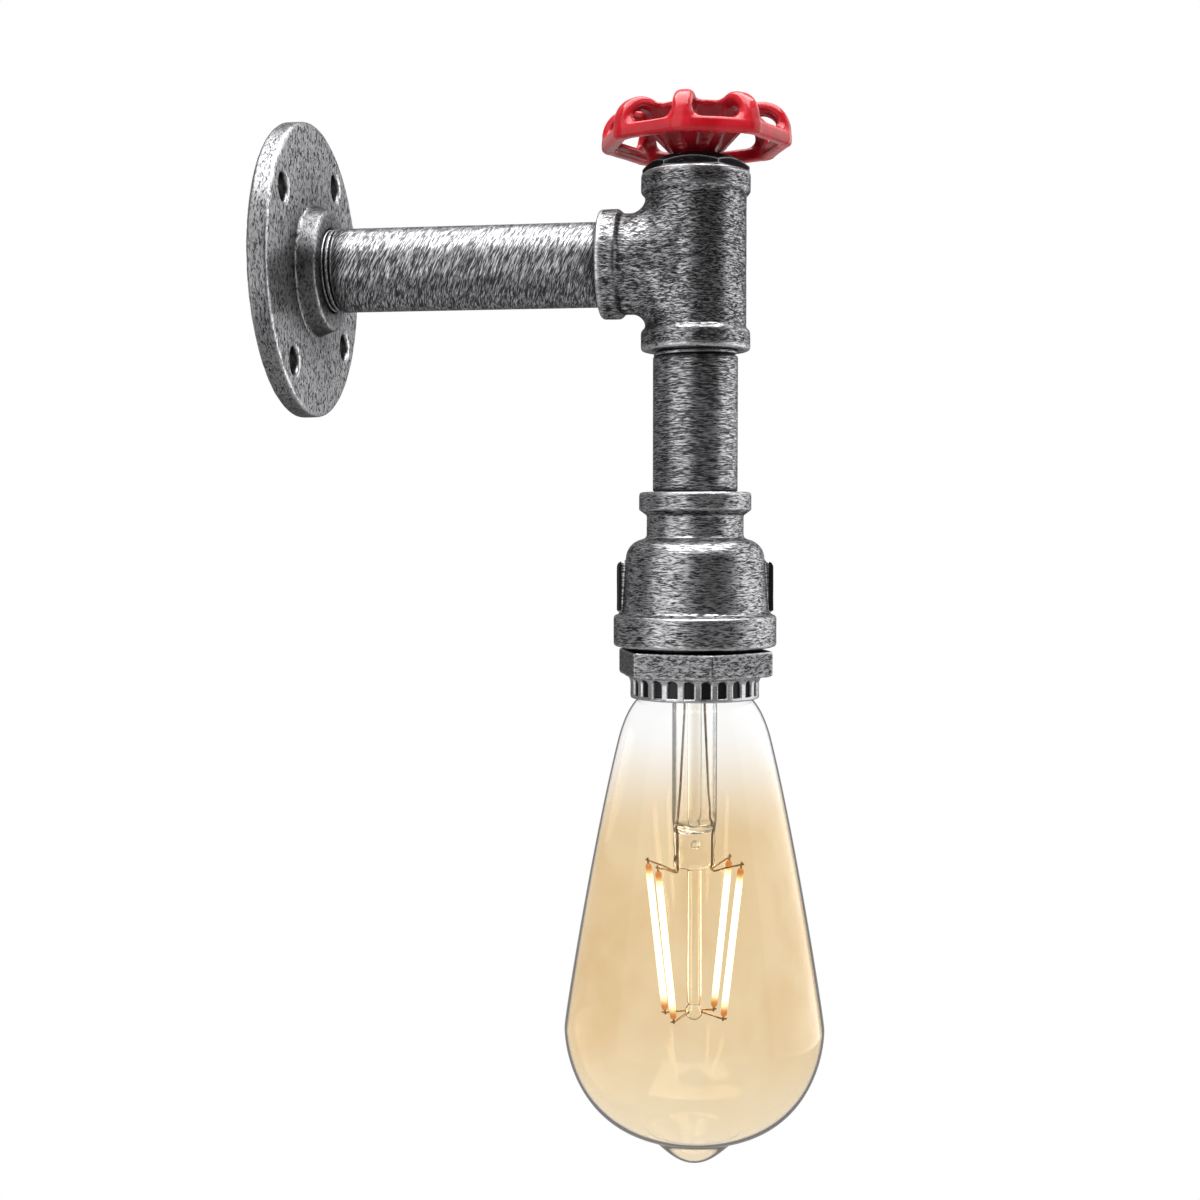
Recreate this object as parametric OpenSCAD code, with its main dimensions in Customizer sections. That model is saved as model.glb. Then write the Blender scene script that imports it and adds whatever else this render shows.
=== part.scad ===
// Pipe wall light: a wall flange, a pipe arm, a tee with a valve wheel on its plug,
// a drop pipe, a bell reducer with a lampholder, and a screw-in filament bulb.
// The wall is the plane x = 0. The arm runs along +X and the lamp hangs down along -Z.
// All sizes are in millimetres.

/* [Wall flange] */
// Diameter of the wall plate
flange_d = 74; // [70:1:100]
// Thickness of the wall plate
flange_t = 5.2; // [4:0.1:8]
// Diameter of the boss where it meets the plate
boss_d = 32.6; // [28:0.2:40]
// Height of the boss above the plate
boss_h = 4.6; // [3:0.1:10]
// Draft of the boss, on its radius
boss_draft = 1; // [0.2:0.1:2]
// Diameter of the wall screw holes
screw_hole_d = 6.8; // [4:0.1:8]
// Diameter of the circle that the screw holes sit on
screw_circle_d = 59; // [50:0.5:62]
// Number of wall screw holes
screw_count = 4; // [3:1:6]
// Turn of the holes from the diagonal, where the tightened thread stops
screw_turn = 10; // [0:1:45]

/* [Pipes] */
// Outer diameter of the pipes
pipe_d = 21; // [20.8:0.1:22]
// Wall of the pipes
pipe_wall = 2.5; // [1.6:0.1:3.2]
// Mean diameter of the pipe thread
thread_d = 20.2; // [19.8:0.1:20.6]
// Length of thread screwed into each fitting
thread_grip = 9; // [6:0.5:12]
// Gap between a thread and its hole, on the radius
thread_gap = 0.1; // [0.05:0.01:0.2]
// Distance from the wall to the lamp's upright axis
reach = 102.5; // [80:0.5:200]
// Bare thread left between the flange and the arm
arm_bare_thread = 2.4; // [1:0.1:8]
// Visible length of pipe between the tee and the reducer
drop_show = 34.7; // [20:0.1:120]
// Bare thread left under the tee
drop_bare_thread = 1.4; // [0.6:0.1:6]

/* [Tee] */
// Half of the tee's upright run
tee_half = 21.8; // [20:0.1:30]
// Length of the branch from the upright axis
tee_branch = 23.5; // [22:0.1:32]
// Diameter of the bands at the ends
band_d = 27; // [26:0.1:32]
// Width of the bands
band_w = 4.8; // [3:0.1:6]
// Diameter of the tee between its bands
tee_body_d = 25; // [24:0.1:27]
// Radius of the blend between branch and run
tee_blend_r = 4; // [2:0.1:5]

/* [Top plug and wheel bolt] */
// Width of the plug's hexagon across its flats
plug_af = 23; // [18:0.5:27]
// Height of the plug's hexagon
plug_h = 3.2; // [2:0.1:8]
// Cut on the corners of the plug, on the radius
plug_cut = 3.4; // [1:0.1:4]
// Diameter of the wheel bolt
bolt_d = 6; // [5:0.5:8]
// Width of the bolt's head across its flats
bolt_af = 10; // [8:0.5:12]
// Height of the bolt's head
bolt_head_h = 3.6; // [2:0.1:4]
// Diameter of the washer under the wheel
washer_d = 11; // [8:0.5:14]
// Thickness of the washer
washer_t = 0.8; // [0.5:0.1:2]

/* [Handwheel] */
// Radius over the corners of the wheel
wheel_r = 23.5; // [22:0.1:32]
// Height of the rim's underside above the tee
wheel_lift = 5.8; // [5:0.1:10]
// Number of arms, one at each corner of the rim
arm_count = 8; // [5:1:9]
// Height of the rim
rim_h = 3.4; // [2.6:0.1:5]
// Radial thickness of the rim
rim_t = 3.4; // [2.4:0.1:5]
// Radius of the rim's corners along the middle of the rim
rim_corner_r = 4; // [3:0.1:6]
// Rounding of the rim's edges
rim_round = 1; // [0.4:0.1:1.1]
// Width of an arm
arm_w = 4.8; // [4:0.1:6]
// Thickness of an arm
arm_t = 3.2; // [2.4:0.1:3.8]
// Radius of the arch along the middle of an arm
arch_r = 5.6; // [4.6:0.1:7]
// Straight rise of an arm above the middle of the rim
arch_rise = 1.8; // [0.5:0.1:5]
// Angle through which an arm arches over
arch_angle = 106; // [100:1:125]
// Diameter of the hub at its foot
hub_foot_d = 11.6; // [10:0.1:16]
// Diameter of the hub's dish at its lip
hub_lip_d = 25; // [22:0.5:27]
// Height of the hub from its foot to its lip
hub_h = 11.2; // [9:0.1:14]
// Thickness of the hub's floor under the bolt head
hub_floor = 5; // [3:0.1:6]
// Wall of the hub's dish
hub_wall = 2; // [1.5:0.1:3]
// Thickness of the ribs under the arms
rib_t = 2.6; // [1.6:0.1:3.6]
// Turn of the wheel about its bolt
wheel_turn = -3; // [-22:1:22]
// Running gap between the wheel and its bolt, on the radius
running_gap = 0.08; // [0.02:0.01:0.1]

/* [Bell reducer] */
// Diameter of the collar on the drop pipe
collar_d = 27.8; // [26:0.1:34]
// Height of the collar
collar_h = 5.2; // [4:0.1:8]
// Diameter of the neck under the collar
neck_d = 24; // [23.6:0.1:27]
// Height of the neck
neck_h = 6.4; // [5:0.1:10]
// Wall of the bell over the thread of the bush
bell_wall = 1.5; // [1:0.1:4]
// Draft of the bell, on its radius
bell_draft = 0.8; // [0.2:0.1:1]
// Radius of the bell's shoulder
shoulder_r = 5; // [3:0.1:6]
// How far the lip stands out from the bell
lip_proud = 2.2; // [1.4:0.1:5]
// Height of the lip
lip_h = 7.8; // [6:0.1:12]
// Width of the side ribs
side_rib_w = 3; // [2:0.1:6]
// How far the side ribs stand out from the bell
side_rib_proud = 1.4; // [0.6:0.1:2.4]
// Turn of the reducer on its thread
reducer_turn = 9; // [0:1:90]

/* [Hexagon bush] */
// Wall of the bush at its thread
bush_wall = 1.5; // [1.2:0.1:2.5]
// Width across the flats
bush_af = 34.8; // [34:0.1:40]
// Height of the hexagon
bush_h = 6.3; // [5:0.1:10]
// Gap left between the reducer and the hexagon
bush_gap = 0.9; // [0.3:0.1:3]
// Length of the bush's thread inside the reducer
bush_grip = 9.5; // [6:0.1:12]
// Turn of the hexagon
bush_turn = -12; // [-30:1:30]

/* [Lampholder] */
// How far the ribbed skirt stands out from its sleeve
skirt_proud = 1; // [0.8:0.1:2]
// Height of the skirt under the hexagon
skirt_h = 5.6; // [5:0.1:10]
// Number of slots round the skirt
slot_count = 24; // [12:1:30]
// Width of a slot
slot_w = 2.4; // [1:0.1:2.8]
// Depth of a slot
slot_depth = 0.7; // [0.3:0.1:0.8]
// Height of the plain lip under the slots
skirt_lip_h = 0.9; // [0.8:0.1:2]
// Flare at the top of the skirt, on the radius
skirt_flare = 1.4; // [0.6:0.1:1.6]
// Room round the skirt's sleeve, on the radius
sleeve_room = 0.4; // [0.3:0.05:1]
// Wall of the sleeve
sleeve_wall = 0.6; // [0.5:0.05:0.7]
// Thickness of the insulating liner
liner_t = 0.45; // [0.3:0.05:0.5]
// Thickness of the screw shell
shell_t = 0.4; // [0.3:0.05:0.5]
// Gap between the shells of the holder, on the radius
shell_gap = 0.1; // [0.05:0.01:0.12]
// Gap between the bulb's cap and the screw shell, on the radius
cap_room = 0.25; // [0.15:0.05:0.4]
// How far the rim of the bulb's cap sits inside the skirt
rim_in = 2.2; // [1.6:0.1:5]
// Thickness of the insulating base
base_t = 5; // [4:0.1:6]
// Thickness of the contact strip
strip_t = 0.4; // [0.3:0.05:0.6]
// Width of the contact strip
strip_w = 5; // [3:0.1:7]
// Distance of the terminal screws from the axis
terminal_offset = 6.2; // [5:0.1:7]
// Head diameter of the terminal and earth screws
small_head_d = 3.8; // [3:0.1:4]
// Shank diameter of the terminal and earth screws
small_screw_d = 2.4; // [2:0.1:2.6]

/* [Bulb] */
// Diameter of the screw cap over its thread
cap_d = 26.2; // [25.6:0.1:26.3]
// Height of the cap from its contact to its rim
cap_h = 25.2; // [24:0.1:27]
// Thickness of the cap's metal
cap_wall = 0.4; // [0.3:0.05:0.5]
// Diameter of the centre contact
contact_d = 9; // [7:0.1:11]
// Thickness of the glass
glass_t = 0.9; // [0.6:0.05:1.2]
// Gap between the glass neck and the cap's metal, on the radius
neck_gap = 0.8; // [0.3:0.1:1.4]
// Diameter of the glass where the shoulder meets the flank
shoulder_d = 37.8; // [34:0.1:44]
// Distance from the cap's rim to the end of the shoulder
shoulder_drop = 12; // [9:0.1:16]
// Largest diameter of the bulb
bulb_d = 65; // [58:0.5:72]
// Distance from the cap's rim to the widest place
belly_drop = 85; // [70:0.5:100]
// Height of the dome under the widest place, to the root of the tip
dome_h = 26.4; // [22:0.1:32]
// Diameter of the tip at its root
tip_d = 27; // [20:0.5:32]
// Height of the tip
tip_h = 8; // [5:0.1:12]
// Outer diameter of the stem tube
stem_d = 11.2; // [9:0.1:13]
// Wall of the stem tube
stem_wall = 0.8; // [0.5:0.1:1.2]
// Distance from the cap's rim to the press
press_drop = 35.6; // [28:0.1:44]
// Height of the press
press_h = 9.4; // [7:0.1:12]
// Thickness of the press
press_t = 5; // [4:0.1:6]
// Diameter of the glass rod under the press
rod_d = 3.5; // [2.6:0.1:5]
// Diameter of the bead at the end of the rod
bead_d = 4.4; // [4:0.1:6]
// Diameter of a filament
filament_d = 1.6; // [1.2:0.1:2.4]
// Height of a filament
filament_h = 37.4; // [30:0.1:42]
// Half width and half depth of the square of filaments at the top
filament_top = [10.6, 5.2];
// Half width and half depth of the square of filaments at the bottom
filament_low = [6.4, 4.4];
// Turn of the filaments about the bulb's axis
filament_turn = 21; // [0:1:90]
// Diameter of the lead and hook wires
lead_d = 0.7; // [0.5:0.1:1]

/* [Wires] */
// Diameter of the insulated wires
wire_d = 2.4; // [1.8:0.1:2.8]

/* [Hidden] */
$fn = 64;

// Radii of the pipes and their threads
pipe_r = pipe_d / 2;
bore_r = pipe_r - pipe_wall;
thread_r = thread_d / 2;
hole_r = thread_r + thread_gap;
edge_r = 0.8;
chamfer = 0.6;
face_gap = 0.4;

// Heights on the lamp's axis, from the top down
tee_top = tee_half;
plug_top = tee_top + plug_h;
washer_top = plug_top + washer_t;
seat_gap = 0.1;
hub_foot = washer_top + seat_gap;
hub_lip = hub_foot + hub_h;
rim_low = tee_top + wheel_lift;
rim_mid = rim_low + rim_h / 2;
arch_mid = rim_mid + arch_rise;
arm_leg_r = wheel_r - rim_t / 2;
arch_place = arm_leg_r - arch_r;
strip_drop = 1.4;
socket_depth = cap_h + rim_in;
holder_h = socket_depth + strip_drop + strip_t + seat_gap + base_t - skirt_h - bush_h - bush_gap;
lug_t = 0.5;
earth_head_h = 1.3;
earth_gap = 0.5;
roof_rise = 2.2;
bell_h = holder_h + lug_t + earth_head_h + earth_gap + shoulder_r - roof_rise;
reducer_h = collar_h + neck_h + bell_h;
reducer_top = -tee_half - drop_show;
reducer_low = reducer_top - reducer_h;
bush_top = reducer_low - bush_gap;
bush_low = bush_top - bush_h;
skirt_low = bush_low - skirt_h;
contact_top = skirt_low + socket_depth;
base_low = contact_top + strip_drop + strip_t + seat_gap;
base_top = base_low + base_t;
cap_rim = contact_top - cap_h;

// Radii of the lampholder and the bell, from the bulb's cap outwards
cap_r = cap_d / 2;
neck_glass_d = cap_d - 2 * cap_wall - 2 * neck_gap;
shell_bore_r = cap_r + cap_room;
shell_r = shell_bore_r + shell_t;
liner_bore_r = shell_r + shell_gap;
liner_r = liner_bore_r + liner_t;
sleeve_bore_r = liner_r + shell_gap;
sleeve_r = sleeve_bore_r + sleeve_wall;
skirt_r = sleeve_r + skirt_proud;
bush_bore_r = sleeve_r + thread_gap;
hollow_r = sleeve_r + sleeve_room;
bell_thread_r = sleeve_r + bush_wall;
bell_low_r = bell_thread_r + bell_wall;
bell_top_r = bell_low_r - bell_draft;
bell_lip_r = bell_low_r + lip_proud;
base_seat = base_low + 1.6;

// Face of the tee's branch and the height of the flange
flange_h = flange_t + boss_h;
branch_face = reach - tee_branch;

// Heights inside the bulb, and how far the glass neck goes into the cap
neck_in = 5;
press_top = cap_rim - press_drop;
press_low = press_top - press_h;
filament_high = press_low + 0.6;
filament_bottom = filament_high - filament_h;
rod_low = filament_bottom + 0.6;
belly = cap_rim - belly_drop;
tip_root = belly - dome_h;
tip_low = tip_root - tip_h;

// Points along an arc, from angle a0 to angle a1
function arc(c, r, a0, a1, n = 6) =
    [for (i = [0:n]) let (a = a0 + (a1 - a0) * i / n) c + r * [cos(a), sin(a)]];

// Points along a curve with two control points, without its first point
function curve(p, q, r, s, n = 8) =
    [for (i = [1:n]) let (t = i / n, u = 1 - t) u * u * u * p + 3 * u * u * t * q + 3 * u * t * t * r + t * t * t * s];

function unit(v) = v / norm(v);
function heading(path, i) = unit(path[min(i + 1, len(path) - 1)] - path[max(i - 1, 0)]);

// Points along a smooth route through hand-set places
function between(a, b, c, d, t) =
    0.5 * (2 * b + (c - a) * t + (2 * a - 5 * b + 4 * c - d) * t * t + (3 * b - a - 3 * c + d) * t * t * t);
function smooth(path, steps) = concat(
    [for (i = [0:len(path) - 2], k = [0:steps - 1])
        between(path[max(i - 1, 0)], path[i], path[i + 1], path[min(i + 2, len(path) - 1)], k / steps)],
    [path[len(path) - 1]]);

// Round wire swept along a path, side is a direction that the path never follows
module wire(path, d, sides = 8, side = [0, 1, 0]) {
    last = len(path) - 1;
    points = [for (i = [0:last])
        let (t = heading(path, i), n = unit(cross(side, t)), b = cross(t, n))
        for (k = [0:sides - 1]) path[i] + d / 2 * (cos(360 * k / sides) * n + sin(360 * k / sides) * b)];
    walls = [for (i = [0:last - 1], k = [0:sides - 1])
        let (a = i * sides + k, b = i * sides + (k + 1) % sides)
        each [[a, a + sides, b + sides], [a, b + sides, b]]];
    start = [for (k = [1:sides - 2]) [0, k, k + 1]];
    end = [for (k = [1:sides - 2]) [last * sides, last * sides + k + 1, last * sides + k]];
    polyhedron(points, concat(walls, start, end));
}

// Places its children with their Z along the arm, x from the wall
module along_arm(x = 0) {
    translate([x, 0, 0])
        rotate([0, 90, 0])
            children();
}

// Places its children on the lamp's upright axis
module on_axis(z = 0) {
    translate([reach, 0, z])
        children();
}

// Ring between two heights
module ring(r_out, r_in, low, high) {
    translate([0, 0, low])
        difference() {
            cylinder(r = r_out, h = high - low);
            translate([0, 0, -1])
                cylinder(r = r_in, h = high - low + 2);
        }
}

// Outline with round corners, centred
module soft_rectangle(w, h, r) {
    x = w / 2 - r;
    y = h / 2 - r;
    polygon(concat(
        arc([x, y], r, 0, 90, 3), arc([-x, y], r, 90, 180, 3),
        arc([-x, -y], r, 180, 270, 3), arc([x, -y], r, 270, 360, 3)));
}

// Cylinder-head screw, head up, its head standing on z = 0
module small_screw(shank, head_h) {
    difference() {
        cylinder(d = small_head_d, h = head_h);
        translate([-small_head_d, -0.3, head_h - 0.6])
            cube([2 * small_head_d, 0.6, 1]);
    }
    translate([0, 0, -shank])
        cylinder(d = small_screw_d, h = shank);
}

// Wall screw hole with a broken edge on the plate's face
module screw_hole() {
    translate([0, 0, -1])
        cylinder(d = screw_hole_d, h = flange_t + 2);
    translate([0, 0, flange_t - chamfer])
        cylinder(r1 = screw_hole_d / 2, r2 = screw_hole_d / 2 + 2 * chamfer, h = 2 * chamfer);
}

module wall_flange() {
    boss_r = boss_d / 2;
    nose_r = boss_r - boss_draft;
    color("dimgray")
        along_arm()
            difference() {
                rotate_extrude()
                    polygon(concat(
                        [[hole_r, 0], [flange_d / 2 - chamfer, 0], [flange_d / 2, chamfer]],
                        arc([flange_d / 2 - edge_r, flange_t - edge_r], edge_r, 0, 90),
                        arc([boss_r + edge_r, flange_t + edge_r], edge_r, 270, 180),
                        arc([nose_r - edge_r, flange_h - edge_r], edge_r, 0, 90),
                        [[hole_r + chamfer, flange_h], [hole_r, flange_h - chamfer]]));
                for (i = [0:screw_count - 1])
                    rotate(135 + screw_turn + i * 360 / screw_count)
                        translate([screw_circle_d / 2, 0, 0])
                            screw_hole();
            }
}

// Pipe along Z with thread at both ends, bare between low and high
module threaded_pipe(low, bare_low, bare_high, high) {
    step = pipe_r - thread_r;
    rotate_extrude()
        polygon([
            [bore_r, low], [thread_r - step, low], [thread_r, low + step],
            [thread_r, bare_low], [pipe_r, bare_low + step],
            [pipe_r, bare_high - step], [thread_r, bare_high],
            [thread_r, high - step], [thread_r - step, high], [bore_r, high]]);
}

module arm_pipe() {
    color("gray")
        along_arm()
            threaded_pipe(flange_h - thread_grip, flange_h + arm_bare_thread,
                branch_face - face_gap, branch_face + thread_grip);
}

module drop_pipe() {
    color("gray")
        on_axis()
            threaded_pipe(reducer_top - thread_grip, reducer_top + face_gap,
                -tee_half - drop_bare_thread, -tee_half + thread_grip);
}

// One end of the tee along +Z, with its band
module tee_leg(length, body_r) {
    band_r = band_d / 2;
    step = band_r - body_r;
    rotate_extrude()
        polygon(concat(
            [[0, 0], [body_r, 0], [body_r, length - band_w - step]],
            arc([band_r - edge_r, length - band_w + edge_r / 2], edge_r, -45, 0),
            arc([band_r - edge_r, length - edge_r], edge_r, 0, 90),
            [[0, length]]));
}

// Quarter bend that blends the branch into the run
module tee_blend(r) {
    bend = r + tee_blend_r;
    translate([-bend, 0, bend])
        rotate([90, 0, 0])
            rotate_extrude(angle = 90, start = 270)
                translate([bend, 0])
                    circle(r = r);
}

// Threaded hole along +Z from a tee end's face, which opens into the tee's middle
module tee_hole(length) {
    cylinder(r = hole_r - 0.9, h = length);
    translate([0, 0, length - thread_grip - 1.5])
        cylinder(r = hole_r, h = thread_grip + 2.5);
    translate([0, 0, length - chamfer])
        cylinder(r1 = hole_r, r2 = hole_r + 2 * chamfer, h = 2 * chamfer);
}

module tee_fitting() {
    run_r = tee_body_d / 2;
    branch_r = run_r - 0.1;
    color("dimgray")
        on_axis()
            difference() {
                union() {
                    tee_leg(tee_half, run_r);
                    mirror([0, 0, 1])
                        tee_leg(tee_half, run_r);
                    rotate([0, -90, 0])
                        tee_leg(tee_branch, branch_r);
                    tee_blend(run_r - 0.2);
                    mirror([0, 0, 1])
                        tee_blend(run_r - 0.2);
                }
                tee_hole(tee_half);
                mirror([0, 0, 1])
                    tee_hole(tee_half);
                rotate([0, -90, 0])
                    tee_hole(tee_branch);
            }
}

// Hexagon along Z whose edges are cut by a cone at one or both ends
module hexagon(af, h, top_cut, low_cut) {
    corner_r = af / 2 / cos(30);
    intersection() {
        cylinder(r = corner_r, h = h, $fn = 6);
        rotate_extrude()
            polygon([
                [0, 0], [corner_r - low_cut, 0], [corner_r + 0.1, low_cut * 0.6],
                [corner_r + 0.1, h - top_cut * 0.6], [corner_r - top_cut, h], [0, h]]);
    }
}

module top_plug() {
    color("black")
        on_axis(tee_top)
            difference() {
                union() {
                    hexagon(plug_af, plug_h, plug_cut, 0);
                    translate([0, 0, -thread_grip])
                        cylinder(r1 = thread_r - chamfer, r2 = thread_r, h = chamfer);
                    translate([0, 0, chamfer - thread_grip])
                        cylinder(r = thread_r, h = thread_grip - chamfer);
                }
                translate([0, 0, -thread_grip - 1])
                    cylinder(r = bolt_d / 2 + thread_gap, h = thread_grip + plug_h + 2);
            }
}

module wheel_washer() {
    color("silver")
        on_axis()
            ring(washer_d / 2, bolt_d / 2 + 0.2, plug_top, washer_top);
}

module wheel_bolt() {
    head = hub_foot + hub_floor + seat_gap;
    color("silver")
        on_axis()
            union() {
                translate([0, 0, head])
                    hexagon(bolt_af, bolt_head_h, 1, 0);
                translate([0, 0, tee_top - thread_grip + 1])
                    cylinder(d = bolt_d, h = head + 0.5 - tee_top + thread_grip - 1);
            }
}

// Rim: straight bars let into slightly fuller rounded corners, one corner at each arm
module wheel_rim() {
    half_turn = 180 / arm_count;
    corner_place = wheel_r - rim_t / 2 - rim_corner_r;
    apothem = corner_place * cos(half_turn) + rim_corner_r;
    let_in = 0.5;
    fuller = 0.16;
    bar_half = corner_place * sin(half_turn) + let_in;
    for (i = [0:arm_count - 1])
        rotate(i * 2 * half_turn) {
            translate([corner_place, 0, rim_mid])
                rotate_extrude(angle = 2 * half_turn, start = -half_turn)
                    translate([rim_corner_r, 0])
                        soft_rectangle(rim_t + fuller, rim_h + fuller, rim_round);
            rotate(half_turn)
                translate([apothem, bar_half, rim_mid])
                    rotate([90, 0, 0])
                        linear_extrude(2 * bar_half)
                            soft_rectangle(rim_t, rim_h, rim_round);
        }
}

// One arm in the plane of its corner: up from the rim, over the arch and down into the hub
module wheel_arm() {
    reach_in = 3.4;
    let_in = 0.4;
    slim = 0.12;
    translate([arm_leg_r, 0, rim_mid])
        linear_extrude(arch_rise + let_in)
            soft_rectangle(arm_t - slim, arm_w - slim, arm_t / 2 - 0.16);
    translate([arch_place, 0, arch_mid]) {
        rotate([90, 0, 0])
            rotate_extrude(angle = arch_angle)
                translate([arch_r, 0])
                    soft_rectangle(arm_t, arm_w, arm_t / 2 - 0.1);
        rotate([0, -arch_angle, 0])
            translate([arch_r, 0, -let_in])
                linear_extrude(reach_in + let_in)
                    soft_rectangle(arm_t - slim, arm_w - slim, arm_t / 2 - 0.16);
    }
}

// Rib that carries an arm down the outside of the hub
module wheel_rib() {
    foot_r = hub_foot_d / 2;
    under = arch_angle - 8;
    rotate([90, 0, 0])
        linear_extrude(rib_t, center = true)
            polygon([
                [foot_r - 1, hub_foot + 0.8], [foot_r + 0.6, hub_foot + 0.8],
                [arch_place, arch_mid] + (arch_r - 0.7) * [cos(under), sin(under)],
                [hub_lip_d / 2 - hub_wall + 0.6, hub_lip - 1.4], [foot_r - 1, hub_lip - 3]]);
}

// Flared hub with a dish for the bolt head
module wheel_hub() {
    foot_r = hub_foot_d / 2;
    lip_r = hub_lip_d / 2;
    dish_r = bolt_af / 2 / cos(30) + 0.6;
    floor_z = hub_foot + hub_floor;
    rotate_extrude()
        polygon(concat(
            [[bolt_d / 2 + running_gap, hub_foot], [foot_r, hub_foot]],
            curve([foot_r, hub_foot], [foot_r, hub_foot + hub_h * 0.4],
                [lip_r - 1.5, hub_lip - hub_h * 0.4], [lip_r, hub_lip - 1]),
            arc([lip_r - 0.6, hub_lip - 0.6], 0.6, 0, 90, 4),
            [[lip_r - hub_wall, hub_lip]],
            curve([lip_r - hub_wall, hub_lip], [lip_r - hub_wall - 2, floor_z + 2],
                [dish_r + 0.5, floor_z + 0.4], [dish_r, floor_z]),
            [[bolt_d / 2 + running_gap, floor_z]]));
}

module handwheel() {
    color("firebrick")
        on_axis()
            rotate(wheel_turn)
                difference() {
                    union() {
                        wheel_hub();
                        wheel_rim();
                        for (i = [0:arm_count - 1])
                            rotate(i * 360 / arm_count) {
                                wheel_arm();
                                wheel_rib();
                            }
                    }
                    translate([0, 0, hub_foot - 1])
                        cylinder(r = bolt_d / 2 + running_gap, h = hub_h);
                    translate([0, 0, hub_foot + hub_floor])
                        cylinder(r1 = bolt_af / 2 / cos(30) + 0.6, r2 = hub_lip_d / 2 - hub_wall, h = hub_h);
                }
}

module bell_reducer() {
    collar_r = collar_d / 2;
    neck_r = neck_d / 2;
    lip_r = bell_lip_r;
    shoulder_top = -collar_h - neck_h;
    flank_top = shoulder_top - shoulder_r;
    lip_top = lip_h - reducer_h;
    hollow_top = flank_top + roof_rise;
    color("dimgray")
        on_axis(reducer_top)
            rotate(reducer_turn)
                difference() {
                    union() {
                        rotate_extrude()
                            polygon(concat(
                                [[0, 0]],
                                arc([collar_r - edge_r, -edge_r], edge_r, 90, 0),
                                [[collar_r, edge_r - collar_h], [neck_r, -collar_h - 0.6],
                                    [neck_r, shoulder_top + 1]],
                                arc([neck_r + 1, shoulder_top + 1], 1, 180, 270, 4),
                                arc([bell_top_r - shoulder_r, flank_top], shoulder_r, 80, 0, 8),
                                [[bell_low_r, lip_top + 0.8]],
                                arc([lip_r - edge_r, lip_top - edge_r], edge_r, 90, 0),
                                arc([lip_r - edge_r, edge_r - reducer_h], edge_r, 0, -90),
                                [[0, -reducer_h]]));
                        for (side = [0, 180])
                            rotate(side)
                                translate([0, -side_rib_w / 2, lip_top + 1])
                                    side_rib(flank_top - lip_top - 1.5);
                    }
                    translate([0, 0, hollow_top - 1])
                        cylinder(r = hole_r, h = 40);
                    translate([0, 0, -chamfer])
                        cylinder(r1 = hole_r, r2 = hole_r + 2 * chamfer, h = 2 * chamfer);
                    rotate_extrude()
                        polygon(concat(
                            [[0, -reducer_h - 1], [bell_thread_r, -reducer_h - 1],
                                [bell_thread_r, 1 - reducer_h + bush_grip],
                                [hollow_r, 2 - reducer_h + bush_grip]],
                            arc([hollow_r - edge_r, hollow_top - edge_r], edge_r, 0, 90, 4),
                            [[0, hollow_top]]));
                    rotate(-reducer_turn)
                        translate([0, earth_place, hollow_top - 1])
                            cylinder(d = small_screw_d + 0.1, h = 2.6);
                }
}

// Raised rib on the side of the bell, along +X with a round top end
module side_rib(h) {
    out = bell_low_r + side_rib_proud;
    root = hollow_r + 0.6;
    rotate([90, 0, 0])
        translate([0, 0, -side_rib_w])
            linear_extrude(side_rib_w)
                union() {
                    translate([root, 0])
                        square([out - root, h - side_rib_proud]);
                    translate([root, 0])
                        square([out - side_rib_proud - root, h]);
                    translate([out - side_rib_proud, h - side_rib_proud])
                        circle(r = side_rib_proud);
                }
}

// Place of the earth screw, across the arm from the lamp's axis
earth_place = (hole_r + hollow_r) / 2 - 0.3;
earth_roof = reducer_top - collar_h - neck_h - shoulder_r + roof_rise;

module hexagon_bush() {
    color("dimgray")
        on_axis()
            rotate(bush_turn)
                difference() {
                    union() {
                        translate([0, 0, bush_low])
                            hexagon(bush_af, bush_h, 0.6, 0.9);
                        translate([0, 0, bush_top - 0.1])
                            cylinder(r = bell_thread_r - thread_gap, h = bush_gap + bush_grip + 0.1);
                    }
                    translate([0, 0, bush_low - 1])
                        cylinder(r = bush_bore_r, h = bush_h + bush_gap + bush_grip + 2);
                }
}

module holder_skirt() {
    mouth_r = skirt_r - 0.8;
    sleeve_top = base_seat;
    color("dimgray")
        on_axis()
            difference() {
                rotate_extrude()
                    polygon(concat(
                        [[sleeve_r, sleeve_top], [sleeve_bore_r, sleeve_top],
                            [sleeve_bore_r, skirt_low + 2.4], [mouth_r, skirt_low + 0.6], [mouth_r, skirt_low]],
                        arc([skirt_r - 0.4, skirt_low + 0.4], 0.4, 270, 360, 3),
                        arc([skirt_r + skirt_flare, bush_low - skirt_flare], skirt_flare, 180, 90, 5),
                        [[sleeve_r, bush_low]]));
                for (i = [0:slot_count - 1])
                    rotate((i + 0.07) * 360 / slot_count)
                        translate([skirt_r - slot_depth, -slot_w / 2, skirt_low + skirt_lip_h])
                            cube([5, slot_w, skirt_h - skirt_lip_h - 0.4]);
            }
}

module holder_liner() {
    color("wheat")
        on_axis()
            ring(liner_r, liner_bore_r, skirt_low + 4.6, base_low - 0.1);
}

module holder_base() {
    color("white")
        on_axis()
            difference() {
                union() {
                    translate([0, 0, base_low])
                        cylinder(r = liner_r, h = base_t);
                    translate([0, 0, base_seat])
                        cylinder(r = sleeve_r, h = base_top - base_seat);
                }
                translate([0, 0, base_low - 1])
                    cylinder(r = rivet_r + 0.1, h = base_t + 2);
                for (side = [-1, 1])
                    translate([side * terminal_offset, 0, base_low + 1])
                        cylinder(d = small_screw_d + 0.1, h = base_t);
            }
}

// Rivet that carries the contact strip, off the axis
rivet_r = 1.2;

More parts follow.
